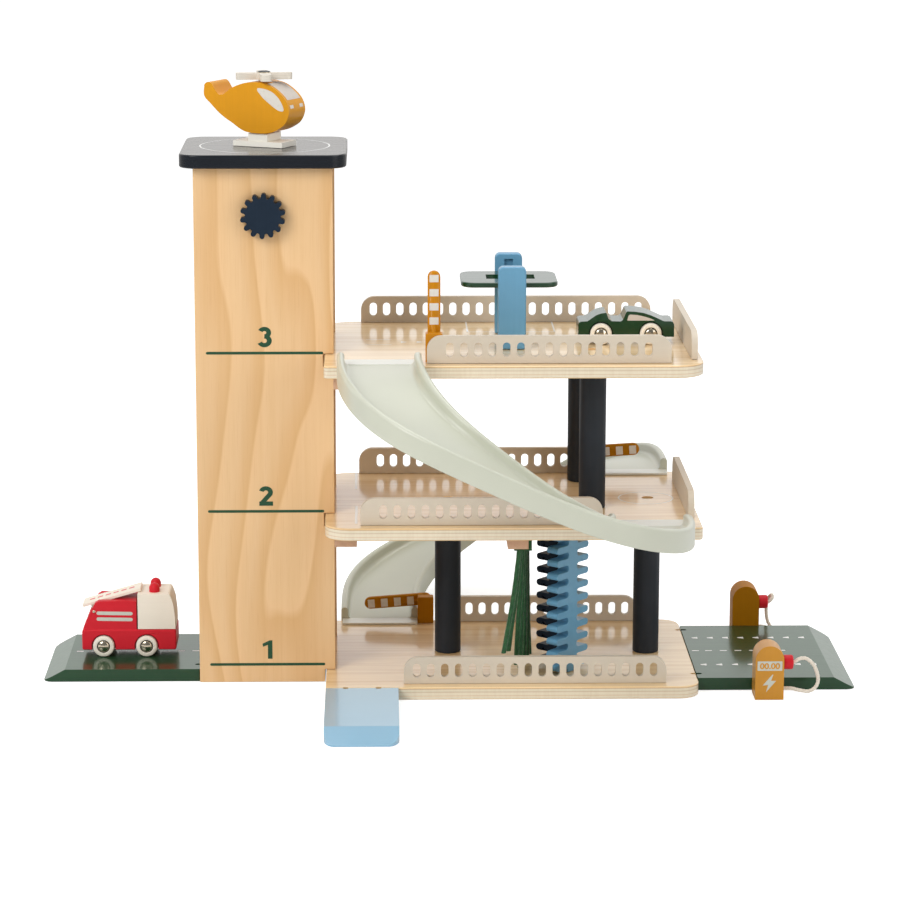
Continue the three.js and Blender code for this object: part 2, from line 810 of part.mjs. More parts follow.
// A wall's middle line in plan in equal steps, from the upper deck's edge to the lower deck's edge
function slideWallLine(halfSpacing, apex, reach, powers) {
  const side = slideCentre + halfSpacing;
  const line = slideQuarter(-side, apex, reach, powers[0]);
  line.push(...slideQuarter(side, apex, reach, powers[1]).reverse().slice(1));
  const way = [0];
  for (let i = 1; i < line.length; i += 1) {
    way.push(way[i - 1] + line[i].distanceTo(line[i - 1]));
  }
  const steps = [];
  let k = 1;
  for (let i = 0; i <= slideStations; i += 1) {
    const goal = (way[way.length - 1] * i) / slideStations;
    while (k < line.length - 1 && way[k] < goal) {
      k += 1;
    }
    steps.push(line[k - 1].clone().lerp(line[k], (goal - way[k - 1]) / (way[k] - way[k - 1])));
  }
  return steps;
}

// The unit direction across the line at step i, pointing out of the bend
function slideAcross(line, i) {
  if (i === 0 || i === line.length - 1) {
    return point(i === 0 ? -1 : 1, 0);
  }
  const along = line[i + 1].clone().sub(line[i - 1]).normalize();
  return point(along.y, -along.x);
}

// How far down the slide has come, as a share of the storey
function slideDrop(share) {
  const square = share * share;
  const cube = square * share;
  return slideStartSlopeShare * (cube - 2 * square + share)
    + (3 * square - 2 * cube)
    + slideEndSlopeShare * (cube - square)
    + (slideBulgeShare + slideLeanShare * (1 - 2 * share)) * square * (1 - share) * (1 - share);
}

// Half a trough's section, from the floor's edge over the wall: distance from the wall's middle line
// towards the trough's outside, and height above the deck that the slide has come from
function slideSection() {
  const half = slideWall / 2;
  const bottom = slideRim - slideWallHeight;
  const under = slideFloorTop - slideFloor;
  return [
    [-half - slideFillet, slideFloorTop],
    [-half, slideFloorTop + slideFillet],
    [-half, slideRim - slideRound],
    [slideRound - half, slideRim],
    [half - slideRound, slideRim],
    [half, slideRim - slideRound],
    [half, bottom],
    [half - slideSkirt, bottom],
    [half - slideSkirt, under],
  ];
}

function slideTrough() {
  const outer = slideWallLine(slideHalfSpacing, slideOuterApex, slideOuterReach, slideOuterPowers);
  const inner = slideWallLine(-slideHalfSpacing, slideInnerApex, slideInnerReach, slideInnerPowers);
  const section = slideSection();
  const rings = outer.map((place, i) => {
    const height = topTop - storey * slideDrop(i / slideStations);
    const ring = (line, side) => section.map(([away, up]) => {
      const spot = line[i].clone().addScaledVector(slideAcross(line, i), side * away);
      return new THREE.Vector3(spot.x, deckFront - slideEdgeGap + spot.y, height + up);
    });
    return [...ring(inner, -1).reverse(), ...ring(outer, 1)];
  });
  return bodyOfRings(rings, (p) => point(p.x, p.z));
}

// The thin lip that lies on a deck at each end of the trough
function slideTongue(x, top, reach) {
  const half = slideTongueWidth / 2;
  const front = deckFront - slideEdgeGap - fuse;
  const outline = roundedOutline(x - half, front, x + half, deckFront + reach, [0, 0, fuse, fuse], 2);
  const lip = outline.filter((p, i) => p.distanceTo(outline[(i + 1) % outline.length]) > 0);
  return slab(lip, slideFloorTop - seatGap).translate(0, 0, top + seatGap);
}

function slideMoulding(reach) {
  return join(slideTrough(), slideTongue(-slideCentre, topTop, reach), slideTongue(slideCentre, middleTop, reach));
}

function addSlides() {
  addPiece('upper_slide', slideMoulding(upperTongueReach), mist);
  const lower = addPiece('lower_slide', slideMoulding(lowerTongueReach), mist);
  lower.rotation.z = Math.PI;
  lower.position.z = -storey;
}

// Ramp and road plates

// A plate whose far end slopes down to a thin toe. It runs along +X from x = 0
function slopedPlate(length, width, bevel, toe) {
  const outline = [point(0, 0), point(length, 0), point(length, toe), point(length - bevel, ply), point(0, ply)];
  return upright(outline, width).translate(0, -width / 2, 0);
}

function addRamp() {
  const half = rampWidth / 2;
  const start = seatGap;
  const plan = roundedOutline(-half, -rampLength, half, -start, [rampCorner, rampCorner, fuse, fuse]);
  const slope = slopedPlate(rampLength, rampWidth + 2 * cutOver, rampBevel, rampToe).rotateZ(-Math.PI / 2);
  const ramp = common(slab(plan, ply + cutOver), slope).translate(deckLeft + half, deckFront, 0);
  addPiece('front_ramp', cut(ramp, ...rampPins()), blue);
}

// A sloped plate whose two far corners are rounded in plan
function roadPlate(length, width) {
  const half = width / 2;
  const plan = roundedOutline(0, -half, length, half, [fuse, plateCorner, plateCorner, fuse]);
  return common(slab(plan, ply + cutOver), slopedPlate(length, width + 2 * cutOver, plateBevel, plateToe));
}

function addRoadPlates() {
  const right = roadPlate(rightPlateLength, rightPlateWidth)
    .translate(deckRight + seatGap, rightPlateCentreY, 0);
  addPiece(
    'right_road_plate',
    cut(right, ...linkNotches(deckRight, rightPlateCentreY, rightLinkSpread)),
    roadGreen,
  );
  const left = roadPlate(leftPlateLength, leftPlateWidth)
    .rotateZ(Math.PI)
    .translate(towerLeft - seatGap, leftPlateCentreY, 0);
  addPiece('left_road_plate', cut(left, ...linkNotches(towerLeft, leftPlateCentreY, leftLinkSpread)), roadGreen);
}

function addCleats() {
  for (const [name, top, length] of [
    ['middle_cleat', middleTop, middleCleatLength],
    ['top_cleat', topTop, topCleatLength],
  ]) {
    const x = towerRight + seatGap + cleatWidth / 2;
    addPiece(name, box(cleatWidth, length, cleatHeight), beech).position.set(x, 0, top - ply - seatGap - cleatHeight);
  }
}

// Gates

// A post block with a pin hole in its back face. Its front face lies at y = 0 and its middle at x = 0
function gateBlock() {
  const half = gateBlockWidth / 2;
  const hole = barY(gatePinRadius + axleGap, gatePinLength + cutOver, smallSteps)
    .translate(0, gateBlockDepth - gatePinLength, gateBlockHeight - gatePivotDrop);
  const block = box(gateBlockWidth, gateBlockDepth, gateBlockHeight).translate(0, gateBlockDepth / 2, 0);
  const bevelled = common(block, upright(
    [
      point(-half, -cutOver),
      point(half, -cutOver),
      point(half, gateBlockHeight - deckEdge),
      point(half - deckEdge, gateBlockHeight),
      point(deckEdge - half, gateBlockHeight),
      point(-half, gateBlockHeight - deckEdge),
    ],
    gateBlockDepth,
  ));
  return cut(bevelled, hole);
}

// An arm that points along +X from its pivot, with the pin that turns in the block
function gateArm() {
  const radius = gateArmWidth / 2;
  const outline = [
    ...arc(gateArmLength - 2 * radius, 0, radius, -90, 90, 2 * cornerSteps),
    ...arc(0, 0, radius, 90, 270, 2 * cornerSteps),
  ];
  const pin = barY(gatePinRadius, gatePinLength + fuse - runGap, smallSteps).translate(0, runGap - gatePinLength, 0);
  return join(upright(outline, gateArmThickness, deckEdge), pin);
}

function addGate(name, x, front, floor, tilt) {
  addPiece(`${name}_gate_post`, gateBlock(), ochre).position.set(x, front, floor + seatGap);
  const arm = addPiece(`${name}_gate_arm`, gateArm(), ochre);
  arm.rotation.y = -THREE.MathUtils.degToRad(tilt);
  arm.position.set(x, front + gateBlockDepth + seatGap, floor + seatGap + gateBlockHeight - gatePivotDrop);
}

function addGates() {
  addGate('top', topGateX, topGateFront, topTop, topGateTilt);
  addGate('middle', middleGateX, middleGateFront, middleTop, middleGateTilt);
  addGate('base', baseGateX, baseGateFront, baseTop, baseGateTilt);
}

// Car wash

function addWashBeam() {
  const half = washBeamWidth / 2;
  const outline = [
    point(washBeamDraft - half, 0),
    point(half, 0),
    point(half, washBeamHeight),
    point(-half, washBeamHeight),
  ];
  const beam = upright(outline, washBeamBack - washBeamFront);
  addPiece('wash_beam', beam, beech).position.set(washX, washBeamFront, middleTop - ply - seatGap - washBeamHeight);
}

// One hanging strip: it leans sideways more and more towards its end
function hangingStrip(x, y, lean, length) {
  const rings = [];
  const halfX = stripWidth / 2;
  const halfY = stripThickness / 2;
  for (let i = 0; i <= stripSteps; i += 1) {
    const share = i / stripSteps;
    const middle = x + lean * share ** stripLeanPower;
    const z = -length * share;
    rings.push([
      new THREE.Vector3(middle - halfX, y - halfY, z),
      new THREE.Vector3(middle + halfX, y - halfY, z),
      new THREE.Vector3(middle + halfX, y + halfY, z),
      new THREE.Vector3(middle - halfX, y + halfY, z),
    ]);
  }
  return bodyOfRings(rings, (p) => point(p.x, p.y));
}

// The strips hang from a felt header that lies against the beam's side and is folded under the beam
function addWashStrips() {
  const length = washBeamBack - washBeamFront - 2 * stripInset;
  const pitch = (length - stripThickness) / (stripCount - 1);
  const header = box(stripHeaderThickness, length, stripHeader);
  const flangeWidth = stripHeaderThickness + stripFlangeReach;
  const flangeHeight = stripFlange + fuse / 2;
  const flange = box(flangeWidth, length, stripFlange).translate(-stripFlangeReach / 2, 0, -stripFlange);
  const rib = box(stripHeaderThickness, length, flangeHeight).translate(0, 0, -stripFlange);
  const strips = stripLengths.map((reach, i) => hangingStrip(
    stripRoots[i],
    -length / 2 + stripThickness / 2 + i * pitch,
    stripLeans[i],
    reach,
  ).translate(0, 0, fuse - stripFlange));
  addPiece('wash_strips', join(header, flange, rib, ...strips), felt).position.set(
    washX + washBeamWidth / 2 + seatGap + stripHeaderThickness / 2,
    (washBeamFront + washBeamBack) / 2,
    middleTop - ply - seatGap - stripHeader,
  );
}

// One toothed edge of a comb from its foot to its top, from the root out to the reach: round tooth ends
// and round valleys
function combEdge(height, root, reach) {
  const pitch = height / brushTeeth;
  const tip = brushToothHeight / 2;
  const valley = (pitch - brushToothHeight) / 2;
  const edge = [point(root, 0), point(root, pitch / 2 - tip)];
  for (let i = 0; i < brushTeeth; i += 1) {
    const middle = (i + 1 / 2) * pitch;
    edge.push(...arc(reach - tip, middle, tip, -90, 90, slotSteps));
    if (i < brushTeeth - 1) {
      edge.push(...arc(root + valley, middle + pitch / 2, valley, 270, 90, slotSteps));
    }
  }
  edge.push(point(root, height - pitch / 2 + tip), point(root, height));
  return edge;
}

// The brush is a board toothed on both sides, with a narrower one glued to the middle of its back
function addBrush() {
  const height = storey - ply - 2 * runGap;
  const pin = post(brushPinRadius, brushPinLength, smallSteps);
  const upperPin = pin.clone().translate(0, 0, height - fuse);
  const lowerPin = pin.clone().translate(0, 0, fuse - brushPinLength);
  const edge = combEdge(height, brushSpine / 2, brushWidth / 2);
  const wide = upright([...edge, ...edge.map((p) => point(-p.x, p.y)).reverse()], brushBoard)
    .translate(0, -brushBoard / 2, 0);
  const narrow = upright([point(0, 0), ...combEdge(height, brushRibRoot, brushRibReach), point(0, height)], brushBoard)
    .translate(brushBoard / 2 + seatGap, -brushBoard / 2, 0);
  const turn = THREE.MathUtils.degToRad(brushTurn);
  for (const [name, comb, angle] of [
    ['brush_comb_a', join(wide, upperPin, lowerPin), turn],
    ['brush_comb_b', narrow, turn + Math.PI / 2],
  ]) {
    const mesh = addPiece(name, comb, blue);
    mesh.rotation.z = angle;
    mesh.position.set(brushX, brushY, baseTop + runGap);
  }
}

// Car hoist

function hoistPost() {
  const half = hoistPostWidth / 2;
  const foot = 2 * deckEdge;
  const corners = [foot, foot, hoistPostCorner, hoistPostCorner];
  const plate = upright(roundedOutline(-half, 0, half, hoistPostHeight, corners), hoistPostThickness, deckEdge);
  const groove = box(
    hoistGrooveWidth,
    hoistGrooveDepth + cutOver,
    hoistPostHeight - hoistGrooveFoot - hoistGrooveHead,
  ).translate(0, hoistPostThickness + (cutOver - hoistGrooveDepth) / 2, hoistGrooveFoot);
  return cut(plate, groove);
}

function addHoist() {
  const front = addPiece('hoist_front_post', hoistPost(), blue);
  front.position.set(hoistX, hoistFrontY, topTop + seatGap);
  const laneFront = hoistFrontY + hoistPostThickness;
  const back = addPiece('hoist_back_post', hoistPost(), blue);
  back.rotation.z = Math.PI;
  back.position.set(hoistX, laneFront + hoistLane + hoistPostThickness, topTop + seatGap);
  addPiece('hoist_platform', hoistPlate(), green).position.set(
    hoistX,
    laneFront + hoistLane / 2,
    topTop + hoistPlateTop - hoistPlateThickness,
  );
}

// The platform hangs by two tabs in the posts' grooves and has a window in its middle
function hoistPlate() {
  const half = hoistPlateWidth / 2;
  const depth = hoistLane / 2 - runGap;
  const outline = roundedOutline(-half, -depth, half, depth, Array(4).fill(hoistPlateCorner));
  const plate = slab(outline, hoistPlateThickness, deckEdge).translate(hoistPlateOffset, 0, 0);
  const tab = box(
    hoistGrooveWidth - 2 * runGap,
    hoistLane + 2 * (hoistGrooveDepth - runGap),
    hoistPlateThickness - 2 * deckEdge,
  ).translate(0, 0, deckEdge);
  const window = box(hoistSlotWidth, hoistSlotDepth, hoistPlateThickness + 2 * cutOver)
    .translate(0, hoistSlotOffset, -cutOver);
  return cut(join(plate, tab), window);
}

// Vehicles

// Two wheels with domed hubs on one axle along Y, centred on the axle, for a body of this width
function wheelPair(width) {
  const half = width / 2 + wheelProud;
  const inner = half - wheelThickness;
  const wheel = [
    point(0, inner),
    point(wheelRadius - wheelRound, inner),
    point(wheelRadius, inner + wheelRound),
    point(wheelRadius, half - wheelRound),
    point(wheelRadius - wheelRound, half),
    point(hubRadius, half),
    point(hubRadius * hubShoulderShare, half + hubDome * hubShoulderShare),
    point(0, half + hubDome),
  ];
  const one = new THREE.LatheGeometry(wheel, wheelSteps);
  const other = one.clone().rotateX(Math.PI);
  const axle = barY(axleRadius, 2 * inner + 2 * fuse).translate(0, -inner - fuse, 0);
  return join(axle, one, other);
}

// What an axle takes out of a body: its bore and the two wheel arches
function axleCuts(x, width) {
  const hole = barY(axleRadius + axleGap, width + 2 * cutOver).translate(x, -width / 2 - cutOver, wheelRadius);
  const well = wheelThickness + archRadius - wheelRadius - wheelProud;
  const wells = [-1, 1].map((side) => barY(archRadius, well + cutOver, roundSteps)
    .translate(x, side > 0 ? width / 2 - well : -width / 2 - cutOver, wheelRadius));
  return [hole, ...wells];
}

function outlineOf(pairs) {
  return pairs.map(([x, z]) => point(x, z));
}

// A vehicle's side outline given its width, centred across the vehicle
function vehicleBody(outline, width, edge = 0) {
  return upright(outline, width, edge).translate(0, -width / 2, 0);
}

function addWheels(name, vehicle, x, width) {
  addPiece(name, wheelPair(width), cream, vehicle).position.set(x, 0, wheelRadius);
}

function addFireEngine() {
  const engine = new THREE.Group();
  engine.position.set(engineRear, engineCentreY, ply + seatGap);
  garage.add(engine);
  const rear = engineRearAxle;
  const front = engineRearAxle + engineWheelbase;
  const chassis = vehicleBody(
    roundedOutline(0, engineFloor, engineLength, engineSill, Array(4).fill(2 * deckEdge), 2),
    engineWidth,
    deckEdge,
  );
  const body = vehicleBody(
    outlineOf([...engineBodyRear, [engineBodyRear[6][0], engineSill - fuse], [engineBodyRear[0][0], engineSill - fuse]])
      .reverse(),
    engineWidth - 2 * deckEdge,
  );
  const wall = engineWidth + 2 * cutOver;
  const pinHole = barY(ladderPinRadius + axleGap, wall).translate(ladderPinX, -wall / 2, ladderPinZ);
  const cuts = [...axleCuts(rear, engineWidth), ...axleCuts(front, engineWidth), ladderRoom(), pinHole];
  addPiece('fire_engine_body', cut(join(chassis, body), ...cuts), red, engine);
  addEngineCab(engine);
  addLadder(engine);
  addWheels('fire_engine_rear_wheels', engine, rear, engineWidth);
  addWheels('fire_engine_front_wheels', engine, front, engineWidth);
}

// The well in the body's top that the ladder and its tab swing in
function ladderRoom() {
  const tilt = THREE.MathUtils.degToRad(ladderTilt);
  const wellFront = ladderPinX + 2 * ladderPinRadius + ladderGap;
  const under = (x) => ladderPinZ + ladderRise / Math.cos(tilt) - ladderGap + (x - ladderPinX) * Math.tan(tilt);
  const top = engineBodyTop + cutOver;
  const topFront = ladderPinX + (top - under(ladderPinX)) / Math.tan(tilt);
  const foot = ladderPinZ - ladderWell;
  const outline = [
    point(-cutOver, foot),
    point(wellFront, foot),
    point(wellFront, under(wellFront)),
    point(topFront, top),
    point(-cutOver, top),
  ];
  return vehicleBody(outline, ladderWidth + 2 * ladderGap);
}

function addEngineCab(engine) {
  const foot = engineSill + seatGap;
  const outline = outlineOf([
    [engineCabRear, foot],
    [engineCabNose[0][0], foot],
    ...engineCabNose,
    [engineCabRear, engineCabTop],
  ]);
  const cab = vehicleBody(outline, engineWidth - 2 * deckEdge);
  const beacons = [-1, 1].map((side) => beacon()
    .translate(beaconX, (side * beaconSpacing) / 2, engineCabTop - fuse));
  addPiece('fire_engine_cab', join(cab, ...beacons), cream, engine);
}

function beacon() {
  const straight = beaconHeight + fuse - beaconRadius;
  const dome = arc(0, straight, beaconRadius, 0, 90, slotSteps).slice(0, -1);
  const profile = [point(0, 0), point(beaconRadius, 0), ...dome, point(0, beaconHeight + fuse)];
  return new THREE.LatheGeometry(profile, smallSteps).rotateX(Math.PI / 2);
}

// The ladder board tilts on a pin through the rear body. Its tab reaches down to the pin
function addLadder(engine) {
  const board = box(ladderLength, ladderWidth, ladderThickness)
    .translate(ladderLength / 2 - ladderOverhang, 0, ladderRise);
  const reach = 2 * ladderPinRadius;
  const tab = upright([
    ...arc(0, 0, reach, 180, 360, slotSteps),
    point(reach, ladderRise + fuse),
    point(-reach, ladderRise + fuse),
  ], ladderTab).translate(0, -ladderTab / 2, 0);
  const length = engineWidth - 2 * fuse;
  const pin = barY(ladderPinRadius, length).translate(0, -length / 2, 0);
  const ladder = addPiece('fire_engine_ladder', join(board, tab, pin), cream, engine);
  ladder.rotation.y = -THREE.MathUtils.degToRad(ladderTilt);
  ladder.position.set(ladderPinX, 0, ladderPinZ);
}

function addCar() {
  const car = new THREE.Group();
  car.position.set(carRear, carCentreY, topTop + seatGap);
  garage.add(car);
  const rear = carRearAxle;
  const front = carRearAxle + carWheelbase;
  const cuts = [...axleCuts(rear, carWidth), ...axleCuts(front, carWidth)];
  addPiece('car_body', cut(vehicleBody(outlineOf(carOutline), carWidth), ...cuts), green, car);
  addWheels('car_rear_wheels', car, rear, carWidth);
  addWheels('car_front_wheels', car, front, carWidth);
}

// Helicopter

function addHelicopter() {
  const helicopter = new THREE.Group();
  helicopter.position.set(towerCentreX, towerCentreY, padTop + seatGap);
  helicopter.rotation.z = THREE.MathUtils.degToRad(heliYaw);
  garage.add(helicopter);
  const stem = box(skidStemLength, skidStemWidth, skidStemHeight + fuse).translate(0, 0, skidThickness - fuse);
  addPiece('helicopter_skid', join(box(skidLength, skidWidth, skidThickness), stem), cream, helicopter);
  const roof = Math.max(...heliOutline.map(([, z]) => z));
  const hole = post(rotorPinRadius + axleGap, rotorPinLength + cutOver, smallSteps)
    .translate(0, 0, roof - rotorPinLength);
  const body = vehicleBody(outlineOf(heliOutline), heliThickness, heliEdge);
  addPiece('helicopter_body', cut(body, hole), ochre, helicopter);
  addRotor(helicopter, roof + rotorRise);
}

function addRotor(helicopter, height) {
  const blade = roundedOutline(
    -rotorRadius,
    -rotorBlade / 2,
    rotorRadius,
    rotorBlade / 2,
    Array(4).fill(rotorBlade * bladeRoundShare),
    slotSteps,
  );
  const one = slab(blade, rotorThickness, deckEdge);
  const other = one.clone().rotateZ(Math.PI / 2);
  const pin = post(rotorPinRadius, rotorPinLength + rotorRise, smallSteps).translate(0, 0, fuse + runGap - rotorPinLength);
  const cap = new THREE.LatheGeometry([
    point(0, 0),
    point(rotorCapRadius, 0),
    point(rotorCapRadius, rotorCapHeight * rotorCapRimShare),
    point(rotorCapRadius * rotorCapWaistShare, rotorCapHeight * rotorCapShoulderShare),
    point(0, rotorCapHeight),
  ], smallSteps).rotateX(Math.PI / 2).translate(0, 0, rotorThickness - seatGap);
  const rotor = addPiece('helicopter_rotor', join(one, other, pin, cap), cream, helicopter);
  rotor.position.z = height;
  rotor.rotation.z = THREE.MathUtils.degToRad(rotorTurn);
}

// Charging posts with their ropes and plugs

function stationBlock() {
  const half = stationWidth / 2;
  const outline = [
    point(-half, 0),
    point(half, 0),
    ...arc(0, stationHeight - half, half, 0, 180, 3 * cornerSteps),
  ];
  return upright(outline, stationDepth);
}

function plugBody() {
  const profile = [
    point(0, 0),
    point(plugRadius - plugRound, 0),
    point(plugRadius, plugRound),
    point(plugRadius, plugLength - plugRound),
    point(plugRadius - plugRound, plugLength),
    point(0, plugLength),
  ];
  return new THREE.LatheGeometry(profile, smallSteps + 4).rotateZ(-Math.PI / 2);
}

function addStation(name, x, face, route) {
  addPiece(`${name}_charging_post`, stationBlock(), ochre).position.set(x, face, 0);
  const plug = addPiece(`${name}_plug`, plugBody(), red);
  plug.position.set(x + stationWidth / 2 + seatGap, face + stationDepth / 2, plugHeight);
  const curve = new THREE.CatmullRomCurve3(route.map(([out, aside, up]) => new THREE.Vector3(
    x + stationWidth / 2 + out,
    face + stationDepth / 2 + aside,
    up,
  )));
  const section = new THREE.Shape(arc(0, 0, ropeRadius, 0, 360, ropeSides).slice(0, -1));
  const rope = new THREE.ExtrudeGeometry(section, {
    steps: ropeSteps,
    extrudePath: curve,
    curveSegments: 1,
  });
  addPiece(`${name}_charging_rope`, rope, cotton);
}

function addStations() {
  addStation('front', frontStationX, frontStationFace, frontRopeRoute);
  const backFace = rightPlateCentreY + rightPlateWidth / 2 + stationPlateGap;
  addStation('back', backStationX, backFace, backRopeRoute);
}

addDecks();
addColumns();
addRails();
addTower();
addLiftCabin();
addWindingShaft();
addKnob();
addLiftCord();
addSlides();
addRamp();
addRoadPlates();
addCleats();
addGates();
addWashBeam();
addWashStrips();
addBrush();
addHoist();
addFireEngine();
addCar();
addHelicopter();
addStations();

export default garage;
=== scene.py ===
# Looks for the toy parking garage: materials, prints, camera, lights and white room, and finer pieces for
# the slides, rails, columns, wheels, helicopter, knob, brush, ramp, felt strips and ropes.
# Lengths are in millimetres in the frame of the CAD nodes, until MM turns them into metres.
import math
import random

import bmesh
import bpy
from mathutils import Matrix, Vector, noise


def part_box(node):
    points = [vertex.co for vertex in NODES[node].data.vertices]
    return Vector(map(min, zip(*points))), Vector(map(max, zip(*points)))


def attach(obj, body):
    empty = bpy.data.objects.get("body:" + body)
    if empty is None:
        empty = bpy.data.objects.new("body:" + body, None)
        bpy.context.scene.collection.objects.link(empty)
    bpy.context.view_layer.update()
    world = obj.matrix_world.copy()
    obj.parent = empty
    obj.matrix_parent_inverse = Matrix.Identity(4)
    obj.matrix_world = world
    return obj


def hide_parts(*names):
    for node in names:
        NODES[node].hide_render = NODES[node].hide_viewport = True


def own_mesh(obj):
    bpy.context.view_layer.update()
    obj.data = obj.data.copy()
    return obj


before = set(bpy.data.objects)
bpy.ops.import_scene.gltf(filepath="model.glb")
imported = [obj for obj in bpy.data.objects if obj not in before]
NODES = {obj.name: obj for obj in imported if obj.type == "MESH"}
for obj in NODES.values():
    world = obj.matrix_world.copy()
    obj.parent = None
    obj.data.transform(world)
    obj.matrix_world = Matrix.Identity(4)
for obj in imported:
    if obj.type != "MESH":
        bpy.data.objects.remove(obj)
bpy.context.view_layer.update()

MM = 0.001
PROUD = 0.06
WELD = 0.002
KEPT_WELD = 0.004
SMOOTH_ANGLE = math.radians(32)
SHARP_ANGLE = math.radians(28)
SIDES = ((-1, "near"), (1, "far"))

# The camera, as fitted to the photograph
CAMERA_PLACE = (-121.25, -2922.16, 822.33)
CAMERA_PITCH = 0.2086
CAMERA_YAW = 0.0229
CAMERA_ROLL = -0.0016
CAMERA_LENS = 130.353
SENSOR = 36

# Sizes of the part that the pieces here are built from
PLY = 11.4
DECK_TOPS = {"base": 11.4, "middle": 157.4, "top": 303.4}
DECK_FRONT = -117
TOWER_FRONT = -56.5
TOWER_CENTRE = (-221.35, 5.2)
PAD_TOP = 482.9
RAIL_HEIGHT = 24.5
RAIL_THICKNESS = 5.5
RAIL_CORNER = 13
SLOT_PITCH = 12.5
SLOT_SIZE = (6.8, 12.7)
WHEEL_RADIUS = 9.85
WHEEL_THICKNESS = 7


def linear(red, green, blue):
    """An 8-bit display colour as the scene-linear one that the shader takes."""
    def one(value):
        share = value / 255
        return share / 12.92 if share <= 0.04045 else ((share + 0.055) / 1.055) ** 2.4
    return (one(red), one(green), one(blue), 1)


BIRCH = linear(252, 222, 174)
BIRCH_DARK = linear(232, 194, 140)
PLY_PALE = linear(236, 222, 196)
PLY_BROWN = linear(206, 172, 128)
VENEER = linear(230, 191, 142)
VENEER_DARK = linear(219, 173, 117)
BEECH = linear(212, 170, 138)
OCHRE = linear(222, 152, 18)
CREAM = linear(245, 236, 220)
WHITE = linear(248, 248, 244)
CLEAR = (1, 1, 1, 1)
WARM_COAT = (1, 0.93, 0.84, 1)
GREEN_COAT = (0.9, 1, 0.88, 1)
COAT_ROUGHNESS = 0.12

GRAIN_ALONG = 9
GRAIN_ACROSS = 420
PAINT_BUMP = 0.00004
PEEL_BUMP = 0.00003
FELT_BUMP = 0.0004
COTTON_BUMP = 0.0002
LEVEL_ENOUGH = 0.6
RING_WAVES = 26
RING_WARP = 7


class Nodes:
    """A node tree and the calls that build it."""

    def __init__(self, tree):
        self.tree = tree

    def feed(self, socket, value):
        """Links another node's output to the socket, or sets the socket where the value is a constant."""
        if isinstance(value, bpy.types.NodeSocket):
            self.tree.links.new(value, socket)
        else:
            socket.default_value = value

    def fill(self, node, inputs):
        for key, value in inputs.items():
            self.feed(node.inputs[key], value)

    def add(self, kind, inputs=None, **settings):
        made = self.tree.nodes.new(kind)
        for key, value in settings.items():
            setattr(made, key, value)
        self.fill(made, inputs or {})
        return made


class Paint(Nodes):
    """A material and the few steps that the recipes below need."""

    def __init__(self, name, colour, rough, metal=0.0, coat=0.0, specular=0.5):
        self.material = bpy.data.materials.new(name)
        self.material.use_nodes = True
        super().__init__(self.material.node_tree)
        self.shader = self.tree.nodes["Principled BSDF"]
        self.fill(self.shader, {
            "Base Color": colour, "Roughness": rough, "Metallic": metal, "Coat Weight": coat,
            "Coat Roughness": COAT_ROUGHNESS, "Specular IOR Level": specular,
        })
        self.place = self.add("ShaderNodeTexCoord").outputs["Object"]

    def noise(self, scale, detail=4.0, rough=0.55, distort=0.0):
        mapping = self.add("ShaderNodeMapping", {"Vector": self.place, "Scale": scale})
        made = self.add("ShaderNodeTexNoise", {
            "Vector": mapping.outputs["Vector"], "Scale": 1, "Detail": detail, "Roughness": rough,
            "Distortion": distort,
        })
        return made.outputs["Fac"]

    def ramp(self, value, stops):
        made = self.add("ShaderNodeValToRGB", {"Fac": value})
        points = made.color_ramp.elements
        while len(points) < len(stops):
            points.new(0.5)
        for point, (place, colour) in zip(points, stops):
            point.position = place
            point.color = colour
        return made.outputs["Color"]

    def maths(self, kind, first, second=0):
        return self.add("ShaderNodeMath", {0: first, 1: second}, operation=kind).outputs[0]

    def mix(self, share, first, second, kind="MIX"):
        made = self.add("ShaderNodeMix", data_type="RGBA", blend_type=kind)
        for name, value in (("Factor", share), ("A", first), ("B", second)):
            self.feed(next(s for s in made.inputs if s.name == name and s.enabled), value)
        return next(s for s in made.outputs if s.enabled)

    def part(self, source, axis):
        return self.add("ShaderNodeSeparateXYZ", {0: source}).outputs[axis]

    def facing_up(self):
        """1 where the surface faces straight up or down, 0 on its sides."""
        normal = self.add("ShaderNodeNewGeometry").outputs["Normal"]
        return self.maths("GREATER_THAN", self.maths("ABSOLUTE", self.part(normal, "Z")), LEVEL_ENOUGH)

    def colour(self, source):
        self.fill(self.shader, {"Base Color": source})

    def bump(self, source, distance, strength):
        made = self.add("ShaderNodeBump", {"Distance": distance, "Strength": strength, "Height": source})
        self.fill(self.shader, {"Normal": made.outputs["Normal"]})

    def roughness(self, source, low, high):
        made = self.add("ShaderNodeMapRange", {"Value": source, "To Min": low, "To Max": high})
        self.fill(self.shader, {"Roughness": made.outputs["Result"]})


def shade(colour, factor):
    return tuple(min(1, part * factor) for part in colour[:3]) + (1,)


def grain_scale(axis, along=GRAIN_ALONG, across=GRAIN_ACROSS):
    return tuple(along if i == "XYZ".index(axis) else across for i in range(3))


def painted(name, colour, rough, axis="X", vary=0.06, coat=0.0, specular=0.25, tint=CLEAR, felt_grain=0.5):
    """Satin paint over wood: slight cloudiness, and the grain just felt through it."""
    paint = Paint(name, colour, rough, coat=coat, specular=specular)
    paint.fill(paint.shader, {"Coat Tint": tint})
    cloud = paint.noise((34, 34, 34), detail=3)
    grain = paint.noise(grain_scale(axis), detail=5)
    tone = paint.ramp(cloud, [(0.3, shade(colour, 1 - vary)), (0.7, shade(colour, 1 + vary))])
    fine = paint.ramp(grain, [(0.35, shade(colour, 1 - vary)), (0.65, shade(colour, 1 + vary * 0.5))])
    paint.colour(paint.mix(0.4, tone, fine))
    paint.roughness(grain, rough - 0.05, rough + 0.08)
    paint.bump(grain, PAINT_BUMP, felt_grain)
    return paint.material


